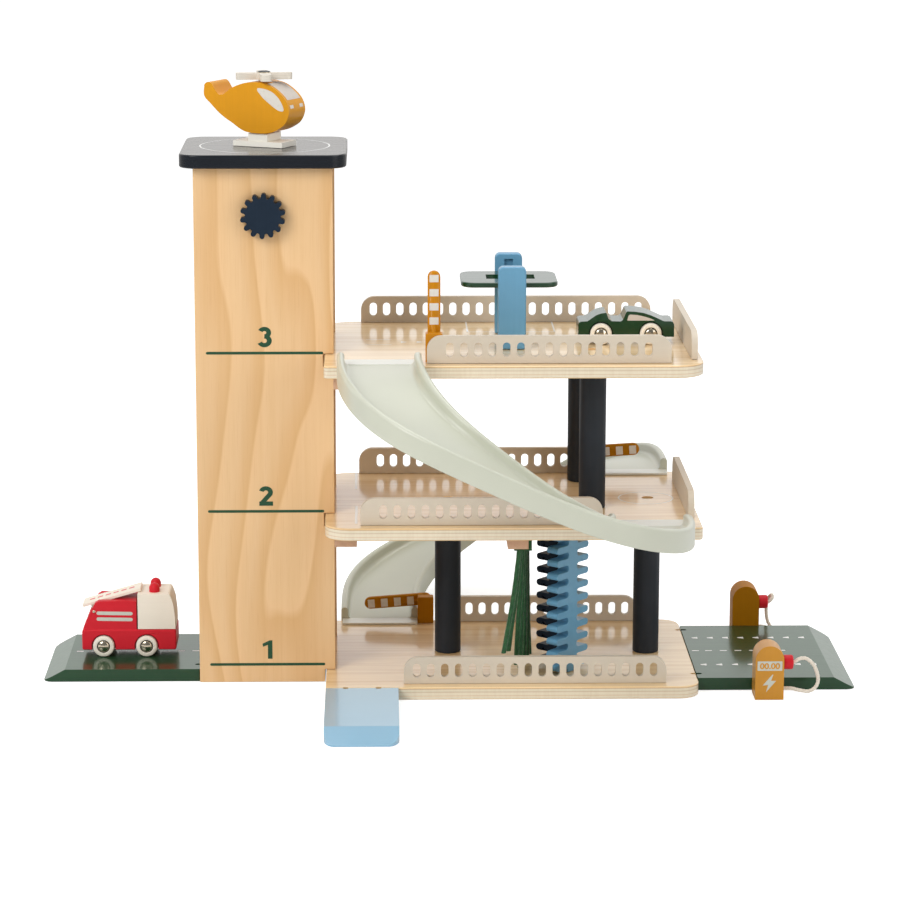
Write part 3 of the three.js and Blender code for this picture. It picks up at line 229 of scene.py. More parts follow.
def bare_wood(name, pale, dark, axis, rough=0.5):
    """Lacquered wood with long grain lines, darker pores and a slow change of tone."""
    paint = Paint(name, pale, rough)
    lines = paint.noise(grain_scale(axis, 5, 130), detail=6, rough=0.6, distort=0.4)
    pores = paint.noise(grain_scale(axis, 26, 1500), detail=3)
    slow = paint.noise(grain_scale(axis, 3, 22), detail=2)
    tone = paint.ramp(lines, [(0.36, dark), (0.62, pale)])
    drift = paint.ramp(slow, [(0.3, shade(pale, 0.94)), (0.7, shade(pale, 1.04))])
    body = paint.mix(0.55, tone, drift)
    speck = paint.ramp(pores, [(0.3, shade(dark, 0.86)), (0.46, WHITE)])
    paint.colour(paint.mix(0.16, body, speck, "MULTIPLY"))
    paint.roughness(pores, rough - 0.06, rough + 0.1)
    paint.bump(pores, PAINT_BUMP, 0.6)
    return paint.material


def plywood(name, floor):
    """Birch face veneer above and below, and the stack of plies on the edges."""
    paint = Paint(name, BIRCH, 0.4, coat=1.0)
    lines = paint.noise(grain_scale("X", 4, 90), detail=6, rough=0.6, distort=0.5)
    pores = paint.noise(grain_scale("X", 24, 1300), detail=3)
    face = paint.ramp(lines, [(0.34, BIRCH_DARK), (0.6, BIRCH)])
    flecks = paint.ramp(pores, [(0.28, shade(BIRCH_DARK, 0.8)), (0.42, WHITE)])
    face = paint.mix(0.2, face, flecks, "MULTIPLY")
    height = paint.maths("SUBTRACT", paint.part(paint.place, "Z"), floor * MM)
    waver = paint.maths("MULTIPLY", paint.noise((14, 14, 300), detail=3), 0.5 * MM)
    share = paint.maths("DIVIDE", paint.maths("ADD", height, waver), PLY * MM)
    plies = paint.ramp(share, [
        (0.0, PLY_BROWN), (0.05, shade(PLY_PALE, 0.92)), (0.3, PLY_PALE), (0.33, shade(PLY_BROWN, 1.12)),
        (0.37, shade(PLY_PALE, 0.96)), (0.52, PLY_PALE), (0.6, shade(PLY_PALE, 0.93)), (0.63, PLY_BROWN),
        (0.67, shade(PLY_PALE, 0.9)), (0.84, PLY_PALE), (0.88, shade(PLY_BROWN, 0.9)), (0.93, BIRCH_DARK),
        (1.0, BIRCH_DARK),
    ])
    speckle = paint.ramp(paint.noise((500, 500, 60)), [(0.35, shade(PLY_BROWN, 0.9)), (0.6, WHITE)])
    edge = paint.mix(0.1, plies, speckle, "MULTIPLY")
    paint.colour(paint.mix(paint.facing_up(), edge, face))
    paint.roughness(pores, 0.34, 0.5)
    paint.bump(pores, PAINT_BUMP, 0.5)
    return paint.material


def layered(name, colour, thickness=1.5):
    """Painted plywood whose thin plies show faintly on the edges."""
    paint = Paint(name, colour, 0.45)
    turns = paint.maths("DIVIDE", paint.part(paint.place, "Z"), thickness * MM)
    dim = shade(colour, 0.8)
    lines = paint.ramp(paint.maths("FRACT", turns), [(0.0, dim), (0.2, colour), (0.85, colour), (1.0, dim)])
    paint.colour(paint.mix(paint.facing_up(), lines, colour))
    return paint.material


def moulded(name, colour, rough=0.3):
    """Smooth moulded plastic with a faint cloud and a fine orange-peel surface."""
    paint = Paint(name, colour, rough, coat=0.15)
    cloud = paint.noise((18, 18, 18), detail=2)
    paint.colour(paint.ramp(cloud, [(0.3, shade(colour, 0.975)), (0.7, shade(colour, 1.02))]))
    peel = paint.noise((700, 700, 700), detail=2)
    paint.bump(peel, PEEL_BUMP, 0.35)
    paint.roughness(peel, rough - 0.03, rough + 0.05)
    return paint.material


def printed(name, colour, coat=0.0):
    paint = Paint(name, colour, 0.5, coat=coat)
    wear = paint.noise((260, 260, 260))
    paint.colour(paint.ramp(wear, [(0.25, shade(colour, 0.9)), (0.5, colour)]))
    return paint.material


def felted(name, colour):
    paint = Paint(name, colour, 0.95)
    fibres = paint.noise((900, 900, 240), detail=6, rough=0.7)
    paint.colour(paint.ramp(fibres, [(0.3, shade(colour, 0.45)), (0.7, shade(colour, 1.7))]))
    paint.fill(paint.shader, {"Sheen Weight": 0.5, "Sheen Roughness": 0.45})
    paint.bump(fibres, FELT_BUMP, 0.9)
    return paint.material


def cottony(name, colour):
    paint = Paint(name, colour, 0.9)
    fibres = paint.noise((1800, 1800, 1800), detail=5, rough=0.7)
    paint.colour(paint.ramp(fibres, [(0.3, shade(colour, 0.72)), (0.6, colour)]))
    paint.fill(paint.shader, {"Sheen Weight": 0.3})
    paint.bump(fibres, COTTON_BUMP, 0.6)
    return paint.material


def polished(name, colour, rough=0.12):
    paint = Paint(name, colour, rough, metal=1.0)
    paint.roughness(paint.noise((1200, 1200, 90)), rough - 0.05, rough + 0.12)
    return paint.material


def veneer_panel(name):
    """Tower veneer: broad upright arches of growth rings over fine upright grain."""
    paint = Paint(name, VENEER, 0.46)
    warp = paint.maths("MULTIPLY", paint.noise((10, 10, 2.6), detail=1, distort=0.3), RING_WARP)
    across = paint.maths("MULTIPLY", paint.part(paint.place, "X"), RING_WAVES)
    arches = paint.ramp(paint.maths("FRACT", paint.maths("ADD", warp, across)), [
        (0.0, shade(VENEER, 1.05)), (0.45, VENEER), (0.93, VENEER_DARK), (1.0, shade(VENEER, 1.05)),
    ])
    pores = paint.noise(grain_scale("Z", 24, 1100), detail=3)
    lines = paint.noise(grain_scale("Z", 4, 150), detail=5, distort=0.3)
    tone = paint.ramp(lines, [(0.35, shade(VENEER_DARK, 1.02)), (0.62, shade(VENEER, 1.03))])
    body = paint.mix(0.22, arches, tone)
    speck = paint.ramp(pores, [(0.3, shade(VENEER_DARK, 0.85)), (0.45, WHITE)])
    paint.colour(paint.mix(0.14, body, speck, "MULTIPLY"))
    paint.roughness(pores, 0.4, 0.54)
    paint.bump(pores, PAINT_BUMP, 0.5)
    return paint.material


# The finishes that belong to each material slot
FINISHES = {
    "birch_ply": {
        "base_ply": plywood("base_ply", DECK_TOPS["base"] - PLY),
        "middle_ply": plywood("middle_ply", DECK_TOPS["middle"] - PLY),
        "top_ply": plywood("top_ply", DECK_TOPS["top"] - PLY),
        "cabin_ply": bare_wood("cabin_ply", BIRCH, BIRCH_DARK, "Y"),
    },
    "tower_veneer": {"veneer": veneer_panel("tower_veneer")},
    "bare_beech": {"beech": bare_wood("beech", BEECH, shade(BEECH, 0.78), "Y")},
    "navy_paint": {
        "navy": painted("navy_paint", linear(31, 43, 57), 0.4, "Z", vary=0.12, specular=0.1),
        "pad": painted("pad_paint", linear(15, 22, 32), 0.26, vary=0.1, coat=0.6, specular=0.1,
                       tint=WARM_COAT),
        "column": painted("column_paint", linear(48, 52, 58), 0.4, "Z", vary=0.12, specular=0.12),
        "dark": painted("dark_steel", linear(24, 26, 28), 0.25, vary=0.1, coat=0.4),
    },
    "sand_paint": {"sand": painted("sand_paint", linear(212, 200, 182), 0.42, vary=0.03)},
    "slide_plastic": {
        "mist": moulded("slide_plastic", linear(199, 201, 184)),
        "lip": moulded("slide_lip_plastic", linear(226, 227, 218)),
    },
    "blue_paint": {
        "blue": painted("blue_paint", linear(104, 160, 194), 0.4, "Z", vary=0.05, coat=0.4),
        "ramp": painted("ramp_paint", linear(146, 192, 220), 0.3, vary=0.02, coat=1.0, felt_grain=0.02),
    },
    "road_green": {
        "road": painted("road_paint", linear(24, 64, 38), 0.3, vary=0.08, coat=0.75, specular=0.1,
                        tint=GREEN_COAT),
    },
    "dark_green_paint": {
        "green": painted("green_paint", linear(12, 58, 30), 0.3, vary=0.08, coat=0.85, specular=0.12),
        "print_green": printed("green_print", linear(12, 70, 40)),
    },
    "ochre_paint": {
        "gate": painted("gate_paint", linear(200, 130, 12), 0.4, "Z", coat=0.3, specular=0.1),
        "post": painted("post_paint", linear(204, 142, 44), 0.42, "Z", coat=0.5, specular=0.12),
        # The same ochre paint made darker: painted shade for the posts and arms that stand further back
        "painted_shade_post": painted("post_painted_shade", linear(172, 112, 10), 0.42, "Z", specular=0.08),
        "ochre": painted("ochre_paint", OCHRE, 0.4, "Z", coat=0.3, specular=0.15),
        "print_ochre": printed("ochre_print", shade(OCHRE, 0.9)),
    },
    "red_paint": {
        "red": painted("red_paint", linear(212, 34, 48), 0.42, vary=0.05, specular=0.2),
        "print_red": printed("red_print", linear(232, 112, 112)),
    },
    "cream_paint": {
        "cream": painted("cream_paint", CREAM, 0.45, vary=0.03),
        # A lighter copy of the cream paint for the skid: painted light on its front
        "skid": painted("skid_painted_light", linear(255, 250, 238), 0.4, vary=0.02),
        "rotor_ply": layered("rotor_ply", shade(CREAM, 0.8)),
        "steel": polished("hub_steel", linear(214, 202, 180)),
        "print_white": printed("white_print", WHITE, coat=0.8),
        "print_window": printed("window_print", linear(222, 216, 206)),
        "print_screen": printed("screen_print", linear(206, 196, 186)),
        "print_silver": printed("silver_print", linear(202, 204, 192)),
    },
    "green_felt": {"felt": felted("green_felt", linear(36, 82, 46))},
    "cotton_cord": {"cotton": cottony("cotton", linear(240, 230, 214))},
}
MATERIALS = {key: material for members in FINISHES.values() for key, material in members.items()}


def added(name, data):
    """A new object with this data, linked to the scene."""
    made = bpy.data.objects.new(name, data)
    bpy.context.scene.collection.objects.link(made)
    return made


# Camera


def make_camera():
    data = bpy.data.cameras.new("photo_camera")
    data.lens = CAMERA_LENS
    data.sensor_width = SENSOR
    data.clip_end = 100
    camera = added("photo_camera", data)
    right = Vector((math.cos(CAMERA_YAW), -math.sin(CAMERA_YAW), 0))
    ahead = Vector((math.sin(CAMERA_YAW), math.cos(CAMERA_YAW), 0)) * math.cos(CAMERA_PITCH)
    ahead.z = -math.sin(CAMERA_PITCH)
    up = right.cross(ahead)
    turned = right * math.cos(CAMERA_ROLL) - up * math.sin(CAMERA_ROLL)
    upright = right * math.sin(CAMERA_ROLL) + up * math.cos(CAMERA_ROLL)
    camera.matrix_world = Matrix.Translation(Vector(CAMERA_PLACE) * MM) @ Matrix(
        (turned, upright, -ahead)).transposed().to_4x4()
    bpy.context.scene.camera = camera


make_camera()

# Mesh helpers


def arc(x, y, radius, start, end, steps):
    """Points of an arc from start to end, in degrees, both ends included."""
    points = []
    for i in range(steps + 1):
        angle = math.radians(start + (end - start) * i / steps)
        points.append((x + radius * math.cos(angle), y + radius * math.sin(angle)))
    return points


def ring(x, y, radius, steps=64):
    return arc(x, y, radius, 0, 360, steps)[:-1]


def box(name):
    """The low and high corners of a CAD node, and its middle, in millimetres."""
    low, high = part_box(name)
    low, high = low / MM, high / MM
    return low, high, (low + high) / 2


def turn(degrees, axis):
    return Matrix.Rotation(math.radians(degrees), 4, axis)


def dress(piece, material, body, replaced=(), bevel=0.0, segments=3):
    """Gives a piece its finish and body, and rounds its sharp edges by bevel."""
    piece.data.materials.clear()
    piece.data.materials.append(MATERIALS[material])
    if bevel:
        round_edges(piece, bevel, segments)
    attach(piece, body)
    if replaced:
        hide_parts(*replaced)
    return piece


def round_edges(piece, width, segments=3):
    made = piece.modifiers.new("round_edges", "BEVEL")
    made.width = width * MM
    made.segments = segments
    made.limit_method = "ANGLE"
    made.angle_limit = SHARP_ANGLE
    made.harden_normals = True
    made.use_clamp_overlap = True


def rework(mesh, step):
    """Runs a bmesh step on the mesh."""
    made = bmesh.new()
    made.from_mesh(mesh)
    step(made)
    made.to_mesh(mesh)
    made.free()


def weld(made):
    bmesh.ops.remove_doubles(made, verts=made.verts, dist=WELD * MM)
    bmesh.ops.recalc_face_normals(made, faces=made.faces)


def smooth(mesh, angle=SMOOTH_ANGLE):
    mesh.polygons.foreach_set("use_smooth", [True] * len(mesh.polygons))
    mesh.set_sharp_from_angle(angle=angle)


def mesh_piece(name, points, faces, matrix=None):
    mesh = bpy.data.meshes.new(name)
    mesh.from_pydata([Vector(p) * MM for p in points], [], faces)
    if matrix:
        mesh.transform(matrix)
    rework(mesh, weld)
    smooth(mesh)
    return added(name, mesh)


def skin(rows, sides, capped=True):
    """The faces of a tube of this many rings, with its two ends closed where it is capped."""
    faces = []
    for start in range(0, (rows - 1) * sides, sides):
        for i in range(sides):
            k = (i + 1) % sides
            faces.append((start + i, start + k, start + sides + k, start + sides + i))
    if capped:
        last = (rows - 1) * sides
        faces += [tuple(range(sides))[::-1], tuple(range(last, last + sides))]
    return faces


def meshed(name, curve):
    """The mesh of a curve or of words, which it takes the place of."""
    carrier = added("outline", curve)
    bpy.context.view_layer.update()
    mesh = bpy.data.meshes.new_from_object(carrier.evaluated_get(bpy.context.evaluated_depsgraph_get()))
    bpy.data.objects.remove(carrier)
    bpy.data.curves.remove(curve)
    mesh.name = name
    return mesh


def filled(name, loops, depth=0.0):
    """The flat mesh of loops, the first one outside and the others holes, or a board of that depth."""
    curve = bpy.data.curves.new("fill", "CURVE")
    curve.dimensions = "2D"
    curve.fill_mode = "BOTH"
    curve.extrude = depth / 2 * MM
    for loop in loops:
        spline = curve.splines.new("POLY")
        spline.points.add(len(loop) - 1)
        spline.use_cyclic_u = True
        for point, (x, y) in zip(spline.points, loop):
            point.co = (x * MM, y * MM, 0, 1)
    return meshed(name, curve)


def board(name, loops, depth, matrix, material, body, replaced=(), bevel=0.6, segments=3):
    """A board of an outline with holes: its middle plane is z = 0 before the matrix places it."""
    mesh = filled(name, loops, depth)
    rework(mesh, weld)
    mesh.transform(matrix)
    smooth(mesh)
    return dress(added(name, mesh), material, body, replaced, bevel, segments)


def flat_print(name, loops, matrix, material, body="garage"):
    """A printed shape: flat loops, placed just proud of the surface by the matrix."""
    mesh = filled(name, loops)
    mesh.transform(matrix)
    return dress(added(name, mesh), material, body)


def place(x, y, z):
    return Matrix.Translation(Vector((x, y, z)) * MM)


def on_top(height):
    """Maps flat (x, y) to a level surface at this height."""
    return place(0, 0, height + PROUD)


STAND_UP = turn(90, "X")


def on_front(y):
    """Maps flat (x, z) to an upright surface that faces -Y at this y."""
    return place(0, y - PROUD, 0) @ STAND_UP


def bar(x0, y0, x1, y1, width, steps=6):
    """The outline of a straight stroke with round ends."""
    angle = math.degrees(math.atan2(y1 - y0, x1 - x0))
    start = arc(x0, y0, width / 2, angle + 90, angle + 270, steps)
    return arc(x1, y1, width / 2, angle - 90, angle + 90, steps) + start


def rectangle(x0, y0, x1, y1):
    return [(x0, y0), (x1, y0), (x1, y1), (x0, y1)]


def rounded(x0, y0, x1, y1, radius, steps=8):
    loop = []
    for i, (x, y) in enumerate(rectangle(x0 + radius, y0 + radius, x1 - radius, y1 - radius)):
        loop += arc(x, y, radius, 180 + 90 * i, 270 + 90 * i, steps)
    return loop


def lathe(name, profile, matrix, material, body, replaced=(), steps=64):
    """A turned piece: (radius, height) points spun about Z, closed where the radius is zero."""
    points = [(*spot, height) for radius, height in profile for spot in ring(0, 0, radius, steps)]
    piece = mesh_piece(name, points, skin(len(profile), steps, capped=False), matrix)
    return dress(piece, material, body, replaced)


def dome(radius, foot, rise, angles):
    """The profile of a dome from these angles above the level up to its tip."""
    turned = [(math.cos(math.radians(a)), math.sin(math.radians(a))) for a in angles]
    return [(radius * across, foot + rise * up) for across, up in turned] + [(0, foot + rise)]


def spline_point(a, b, c, d, t):
    """The point at share t between b and c on the Catmull-Rom curve through a, b, c and d."""
    square, cube = 2 * a - 5 * b + 4 * c - d, 3 * b - a - 3 * c + d
    return 0.5 * (2 * b + (c - a) * t + square * t * t + cube * t ** 3)


def line_length(line):
    return sum((b - a).length for a, b in zip(line, line[1:]))


def evenly(line, count):
    """The points of a line, set out again in this many even steps."""
    way = [0.0]
    for a, b in zip(line, line[1:]):
        way.append(way[-1] + (b - a).length)
    steps, k = [], 1
    for i in range(count + 1):
        goal = way[-1] * i / count
        while k < len(line) - 1 and way[k] < goal:
            k += 1
        steps.append(line[k - 1].lerp(line[k], (goal - way[k - 1]) / (way[k] - way[k - 1])))
    return steps


# CAD nodes that keep their shape: a better finish and rounded edges

KEPT = {
    "base_deck": ("base_ply", 0.5), "middle_deck": ("middle_ply", 0.5), "top_deck": ("top_ply", 0.5),
    "tower_front_panel": ("veneer", 0.6), "tower_back_panel": ("veneer", 0.6),
    "tower_left_panel": ("veneer", 0.6),
    "heliport_plate": ("pad", 0.3), "lift_cabin": ("cabin_ply", 0.5), "winding_shaft": ("beech", 0.3),
    "middle_cleat": ("beech", 0.8), "top_cleat": ("beech", 0.8), "wash_beam": ("beech", 0.8),
    "left_road_plate": ("road", 0.6), "right_road_plate": ("road", 0.6),
    # The middle and base gates and the back charging post take the darker ochre copy, which is painted shade
    "top_gate_post": ("gate", 0.8), "middle_gate_post": ("painted_shade_post", 0.8),
    "base_gate_post": ("painted_shade_post", 0.8), "top_gate_arm": ("gate", 0.0),
    "middle_gate_arm": ("painted_shade_post", 0.0), "base_gate_arm": ("painted_shade_post", 0.0),
    "hoist_front_post": ("blue", 0.4), "hoist_back_post": ("blue", 0.4), "hoist_platform": ("green", 0.3),
    "fire_engine_body": ("red", 0.5), "fire_engine_cab": ("cream", 0.9),
    "fire_engine_ladder": ("cream", 0.5), "car_body": ("green", 0.7),
    "front_charging_post": ("post", 0.8), "back_charging_post": ("painted_shade_post", 0.8),
    "front_plug": ("red", 0.3), "back_plug": ("red", 0.3),
}


def dress_kept():
    for name, (material, bevel) in KEPT.items():
        node = NODES[name]
        node.data.materials.clear()
        node.data.materials.append(MATERIALS[material])
        attribute = node.data.attributes.get("custom_normal")
        if attribute:
            node.data.attributes.remove(attribute)
        close = node.modifiers.new("weld", "WELD")
        close.merge_threshold = KEPT_WELD * MM
        if bevel:
            round_edges(node, bevel)
        smooth(node.data)


dress_kept()

# Slides

SLIDE_CENTRE = 119
SLIDE_HALF_SPACING = 33.75
SLIDE_OUTER = (-15.2, 192.4, 2.87, 3)
SLIDE_INNER = (13, 127.5, 2.78, 2.58)
SLIDE_WALL = 6.6
SLIDE_RIM = 12.8
SLIDE_WALL_HEIGHT = 20.8
SLIDE_FLOOR = 2.5
SLIDE_FLOOR_TOP = 1.5
SLIDE_SKIRT = 2.6
SLIDE_EDGE_GAP = 0.6
SLIDE_STATIONS = 150
SLIDE_SAMPLES = 300
SLIDE_ROUND = 3.2
SLIDE_FILLET = 4.5
STOREY = 146
TONGUE_WIDTH = 71.6
TONGUE_REACH = {"upper_slide": 23, "lower_slide": 18}
LIP_STEP = 0.5
LIP_SINK = 0.3
SLIDE_NIP = 0.5
SLIDE_CUT = 0.3


def slide_line(half_spacing, apex, reach, start_power, end_power):
    """The plan of one slide wall: two quarters of a superellipse, in even steps."""
    side = SLIDE_CENTRE + half_spacing

    def quarter(start, power):
        angles = [math.pi / 2 * i / SLIDE_SAMPLES for i in range(SLIDE_SAMPLES + 1)]
        return [Vector((apex + (start - apex) * abs(math.cos(angle)) ** (2 / power),
                        -reach * math.sin(angle) ** (2 / power))) for angle in angles]

    return evenly(quarter(-side, start_power) + quarter(side, end_power)[::-1][1:], SLIDE_STATIONS)


def slide_across(line, i):
    """The level direction across the wall at station i, along the deck's edge at both ends."""
    if i == 0:
        return Vector((-1, 0))
    if i == len(line) - 1:
        return Vector((1, 0))
    along = (line[i + 1] - line[i - 1]).normalized()
    return Vector((along.y, -along.x))


def slide_drop(share):
    """How much of its storey the slide has come down at this share of its way."""
    square, cube = share ** 2, share ** 3
    bulge = 1.86 - 4.22 * (1 - 2 * share)
    return 3 * square - 2 * cube + 0.83 * (cube - square) + bulge * square * (1 - share) ** 2


def slide_section():
    """Half of the trough's section, as (away from the middle of its wall, up from the slide's level)."""
    half = SLIDE_WALL / 2
    bottom = SLIDE_RIM - SLIDE_WALL_HEIGHT
    fillet = arc(-half - SLIDE_FILLET, SLIDE_FLOOR_TOP + SLIDE_FILLET, SLIDE_FILLET, -90, 0, 5)
    crown = arc(0, SLIDE_RIM - SLIDE_ROUND, SLIDE_ROUND, 180, 0, 10)
    inside = half - SLIDE_SKIRT
    return fillet + [(x * half / SLIDE_ROUND, y) for x, y in crown] + [
        (half, bottom + SLIDE_NIP), (half - SLIDE_NIP, bottom), (inside + SLIDE_CUT, bottom),
        (inside, bottom + SLIDE_CUT), (inside, SLIDE_FLOOR_TOP - SLIDE_FLOOR)]


def slide_ring(line, i, side, height):
    """The half section at station i of a wall's line, open to that side."""
    spots = [(line[i] + slide_across(line, i) * side * away, up) for away, up in slide_section()]
    return [(spot.x, DECK_FRONT - SLIDE_EDGE_GAP + spot.y, height + up) for spot, up in spots]


def make_slide(name, placed):
    outer = slide_line(SLIDE_HALF_SPACING, *SLIDE_OUTER)
    inner = slide_line(-SLIDE_HALF_SPACING, *SLIDE_INNER)
    points = []
    for i in range(SLIDE_STATIONS + 1):
        height = DECK_TOPS["top"] - STOREY * slide_drop(i / SLIDE_STATIONS)
        points += slide_ring(inner, i, -1, height)[::-1] + slide_ring(outer, i, 1, height)
    faces = skin(SLIDE_STATIONS + 1, 2 * len(slide_section()))
    dress(mesh_piece(name + "_trough", points, faces, placed), "mist", "garage", (name,), 0.5, 2)
    depth = SLIDE_FLOOR_TOP - LIP_SINK + LIP_STEP
    for side, end, top in ((-1, "start", DECK_TOPS["top"]), (1, "end", DECK_TOPS["middle"])):
        middle = side * SLIDE_CENTRE
        loop = rounded(middle - TONGUE_WIDTH / 2, DECK_FRONT - SLIDE_EDGE_GAP - 1,
                       middle + TONGUE_WIDTH / 2, DECK_FRONT + TONGUE_REACH[name], 1)
        level = placed @ place(0, 0, top + LIP_SINK + depth / 2)
        board(f"{name}_{end}_lip", [loop], depth, level, "lip", "garage", bevel=0.4)


make_slide("upper_slide", Matrix.Identity(4))
make_slide("lower_slide", place(0, 0, -STOREY) @ turn(180, "Z"))

# Rails


def slot_loop(x):
    width, height = SLOT_SIZE
    rise = (height - width) / 2
    middle = RAIL_HEIGHT / 2
    return arc(x, middle + rise, width / 2, 0, 180, 12) + arc(x, middle - rise, width / 2, 180, 360, 12)


def rail_loops(length, slots):
    level = RAIL_HEIGHT - RAIL_CORNER
    outline = [(0, 0), (length, 0)]
    outline += arc(length - RAIL_CORNER, level, RAIL_CORNER, 0, 90, 16)
    outline += arc(RAIL_CORNER, level, RAIL_CORNER, 90, 180, 16)
    first = (length - (slots - 1) * SLOT_PITCH) / 2
    return [outline] + [slot_loop(first + i * SLOT_PITCH) for i in range(slots)]


SLOT_COUNTS = {
    "base_front_rail": 18, "base_back_rail": 14, "middle_front_rail": 15, "middle_back_rail": 15,
    "top_front_rail": 15, "top_back_rail": 21, "middle_end_rail": 0, "top_end_rail": 0,
}


def make_rails():
    for name, slots in SLOT_COUNTS.items():
        low, high, middle = box(name)
        if slots:
            length = high.x - low.x
            matrix = place(low.x, middle.y, low.z) @ STAND_UP
        else:
            length = high.y - low.y
            matrix = place(middle.x, low.y, low.z) @ turn(90, "Z") @ STAND_UP
        loops = rail_loops(length, slots)
        board(name + "_board", loops, RAIL_THICKNESS, matrix, "sand", "garage", (name,), 0.45)


make_rails()

# Columns, wheels and hubs

COLUMN_RADIUS = 12.05
COLUMN_CHAMFER = 0.6


def make_columns():
    for name in ("upper_front_column", "upper_back_column", "lower_left_column", "lower_right_column"):
        low, high, middle = box(name)
        r, c, tall = COLUMN_RADIUS, COLUMN_CHAMFER, high.z - low.z
        profile = [(0, 0), (r - c, 0), (r, c), (r, tall - c), (r - c, tall), (0, tall)]
        lathe(name + "_turned", profile, place(middle.x, middle.y, low.z), "column", "garage", (name,), 72)


make_columns()

HUB_RADIUS = 6.0
HUB_SINK = 0.7
HUB_DOME = 1.5
HUB_LIFT = 0.03
TYRE_ROUND = 1.6
TYRE_NIP = 0.5
AXLE_RADIUS = 2
AXLE_SHORT = 2


def tyre_profile():
    r, t, wide, nip = WHEEL_RADIUS, WHEEL_THICKNESS, TYRE_ROUND, TYRE_NIP
    return [(0, -t), (r - wide, -t), (r - nip, nip - t), (r, wide - t), (r, -wide), (r - nip, -nip),
            (r - wide, 0), (HUB_RADIUS + 0.5, 0), (HUB_RADIUS + 0.1, -0.3), (HUB_RADIUS, -HUB_SINK),
            (0, -HUB_SINK)]


def hub_profile():
    steps = ((0.8, -HUB_SINK), (0.8, -0.2), (1, 0.15), (1.6, 0.5), (2.8, 0.95), (4.2, 1.3))
    return [(HUB_RADIUS - inward, height) for inward, height in steps] + [(0, HUB_DOME)]


def make_wheels(node, body):
    low, high, middle = box(node)
    face = (high.y - low.y) / 2 - TYRE_ROUND
    seat = [(HUB_RADIUS - inward, HUB_LIFT - HUB_SINK) for inward in (0.02, 1)]
    for side, label in SIDES:
        outward = place(middle.x, middle.y + side * face, middle.z) @ turn(-90 * side, "X")
        replaced = (node,) if side < 0 else ()
        lathe(f"{node}_{label}_wheel", tyre_profile(), outward, "cream", body, replaced)
        lathe(f"{node}_{label}_seat", seat, outward, "dark", body)
        lathe(f"{node}_{label}_hub", hub_profile(), outward, "steel", body)
    end = face - AXLE_SHORT
    axle = [(0, -end), (AXLE_RADIUS, -end), (AXLE_RADIUS, end), (0, end)]
    lathe(f"{node}_axle", axle, place(*middle) @ STAND_UP, "steel", body, steps=24)


for vehicle in ("fire_engine", "car"):
    for end_name in ("front", "rear"):
        make_wheels(f"{vehicle}_{end_name}_wheels", f"{vehicle}_{end_name}_axle")

# Helicopter

HELI_YAW = math.radians(-26)
HELI_THICKNESS = 32
HELI_FLOOR = PAD_TOP + 0.3
SKID_SIZE = (50, 28, 4.8)
SKID_STEM = (19.5, 27, 7)
WINDOW_WRAP = 1.5
HELI_OUTLINE = [
    (-52.4, 43.6), (-45.5, 36.6), (-38, 29.6), (-31, 24.6), (-24, 20.6), (-17, 16.1), (-9.9, 13.2),
    (0, 12.4), (10.4, 12.7), (17, 14.4), (22, 16.8), (27.2, 20.2), (30.8, 24.8), (33, 31.1), (32.6, 36.4),
    (30.8, 41.2), (28, 45.2), (23.7, 49.2), (18, 53.2), (11.3, 56.2), (0.7, 57.9), (-11.7, 56.8),
    (-24, 52.3), (-29.5, 48.3), (-34.7, 45.2), (-38.6, 46.2), (-42, 50.4), (-44.4, 54.2), (-47, 56.1),
    (-49.7, 56), (-51.8, 54.4), (-52.4, 52.2),
]


def smoothed(loop, steps=5):
    """The closed loop through these points, rounded as a Catmull-Rom curve."""
    points = [Vector(spot) for spot in loop]
    count = len(points)
    fine = []
    for i in range(count):
        near = [points[(i + k) % count] for k in (-1, 0, 1, 2)]
        fine += [tuple(spline_point(*near, s / steps)) for s in range(steps)]
    return fine


HELI_FRAME = place(*TOWER_CENTRE, HELI_FLOOR) @ Matrix.Rotation(HELI_YAW, 4, "Z")
HELI_WINDOW = [
    (1.4, 51.8), (2.6, 52.9), (6.9, 52.6), (12, 51.6), (17, 49.5), (21, 46.4), (24, 43), (26.6, 38.6),
    (27.8, 35.2), (27.4, 33.5), (25.8, 33), (22.6, 33.6), (19, 35.5), (15, 38.3), (11, 41.2), (7, 44.4),
    (4, 47.6), (2, 50),
]


def make_helicopter():
    shell = smoothed(HELI_OUTLINE)
    board("helicopter_shell", [shell], HELI_THICKNESS, HELI_FRAME @ STAND_UP, "ochre", "garage",
          ("helicopter_body",), 1.8, 5)
    for side, label in SIDES:
        face = HELI_FRAME @ place(0, side * (HELI_THICKNESS / 2 + PROUD), 0) @ STAND_UP
        flat_print(f"helicopter_window_{label}", [smoothed(HELI_WINDOW, 3)], face, "print_window")
    wrap_print("helicopter_windscreen", shell, (8.5, 57), (30.2, 42.6), 12.4, "print_screen")
    for label, middle in (("left", -9), ("right", 9)):
        wrap_print(f"helicopter_{label}_light", shell, (32, 38.4), (32.7, 35.2), 3.2, "print_window", middle)
    half, depth, tall = SKID_SIZE[0] / 2, SKID_SIZE[1] / 2, SKID_SIZE[2]
    base = rounded(-half, -depth, half, depth, 0.8, 4)
    # The skid takes the lighter cream copy, which is painted light
    board("skid_base", [base], tall, HELI_FRAME @ place(0, 0, tall / 2), "skid", "garage",
          ("helicopter_skid",), 0.6)
    half, depth, stem_tall = SKID_STEM[0] / 2, SKID_STEM[1] / 2, SKID_STEM[2]
    stem = rectangle(-half, -depth, half, depth)
    board("skid_stem", [stem], stem_tall, HELI_FRAME @ place(0, 0, tall + stem_tall / 2), "skid",
          "garage", bevel=0.4)


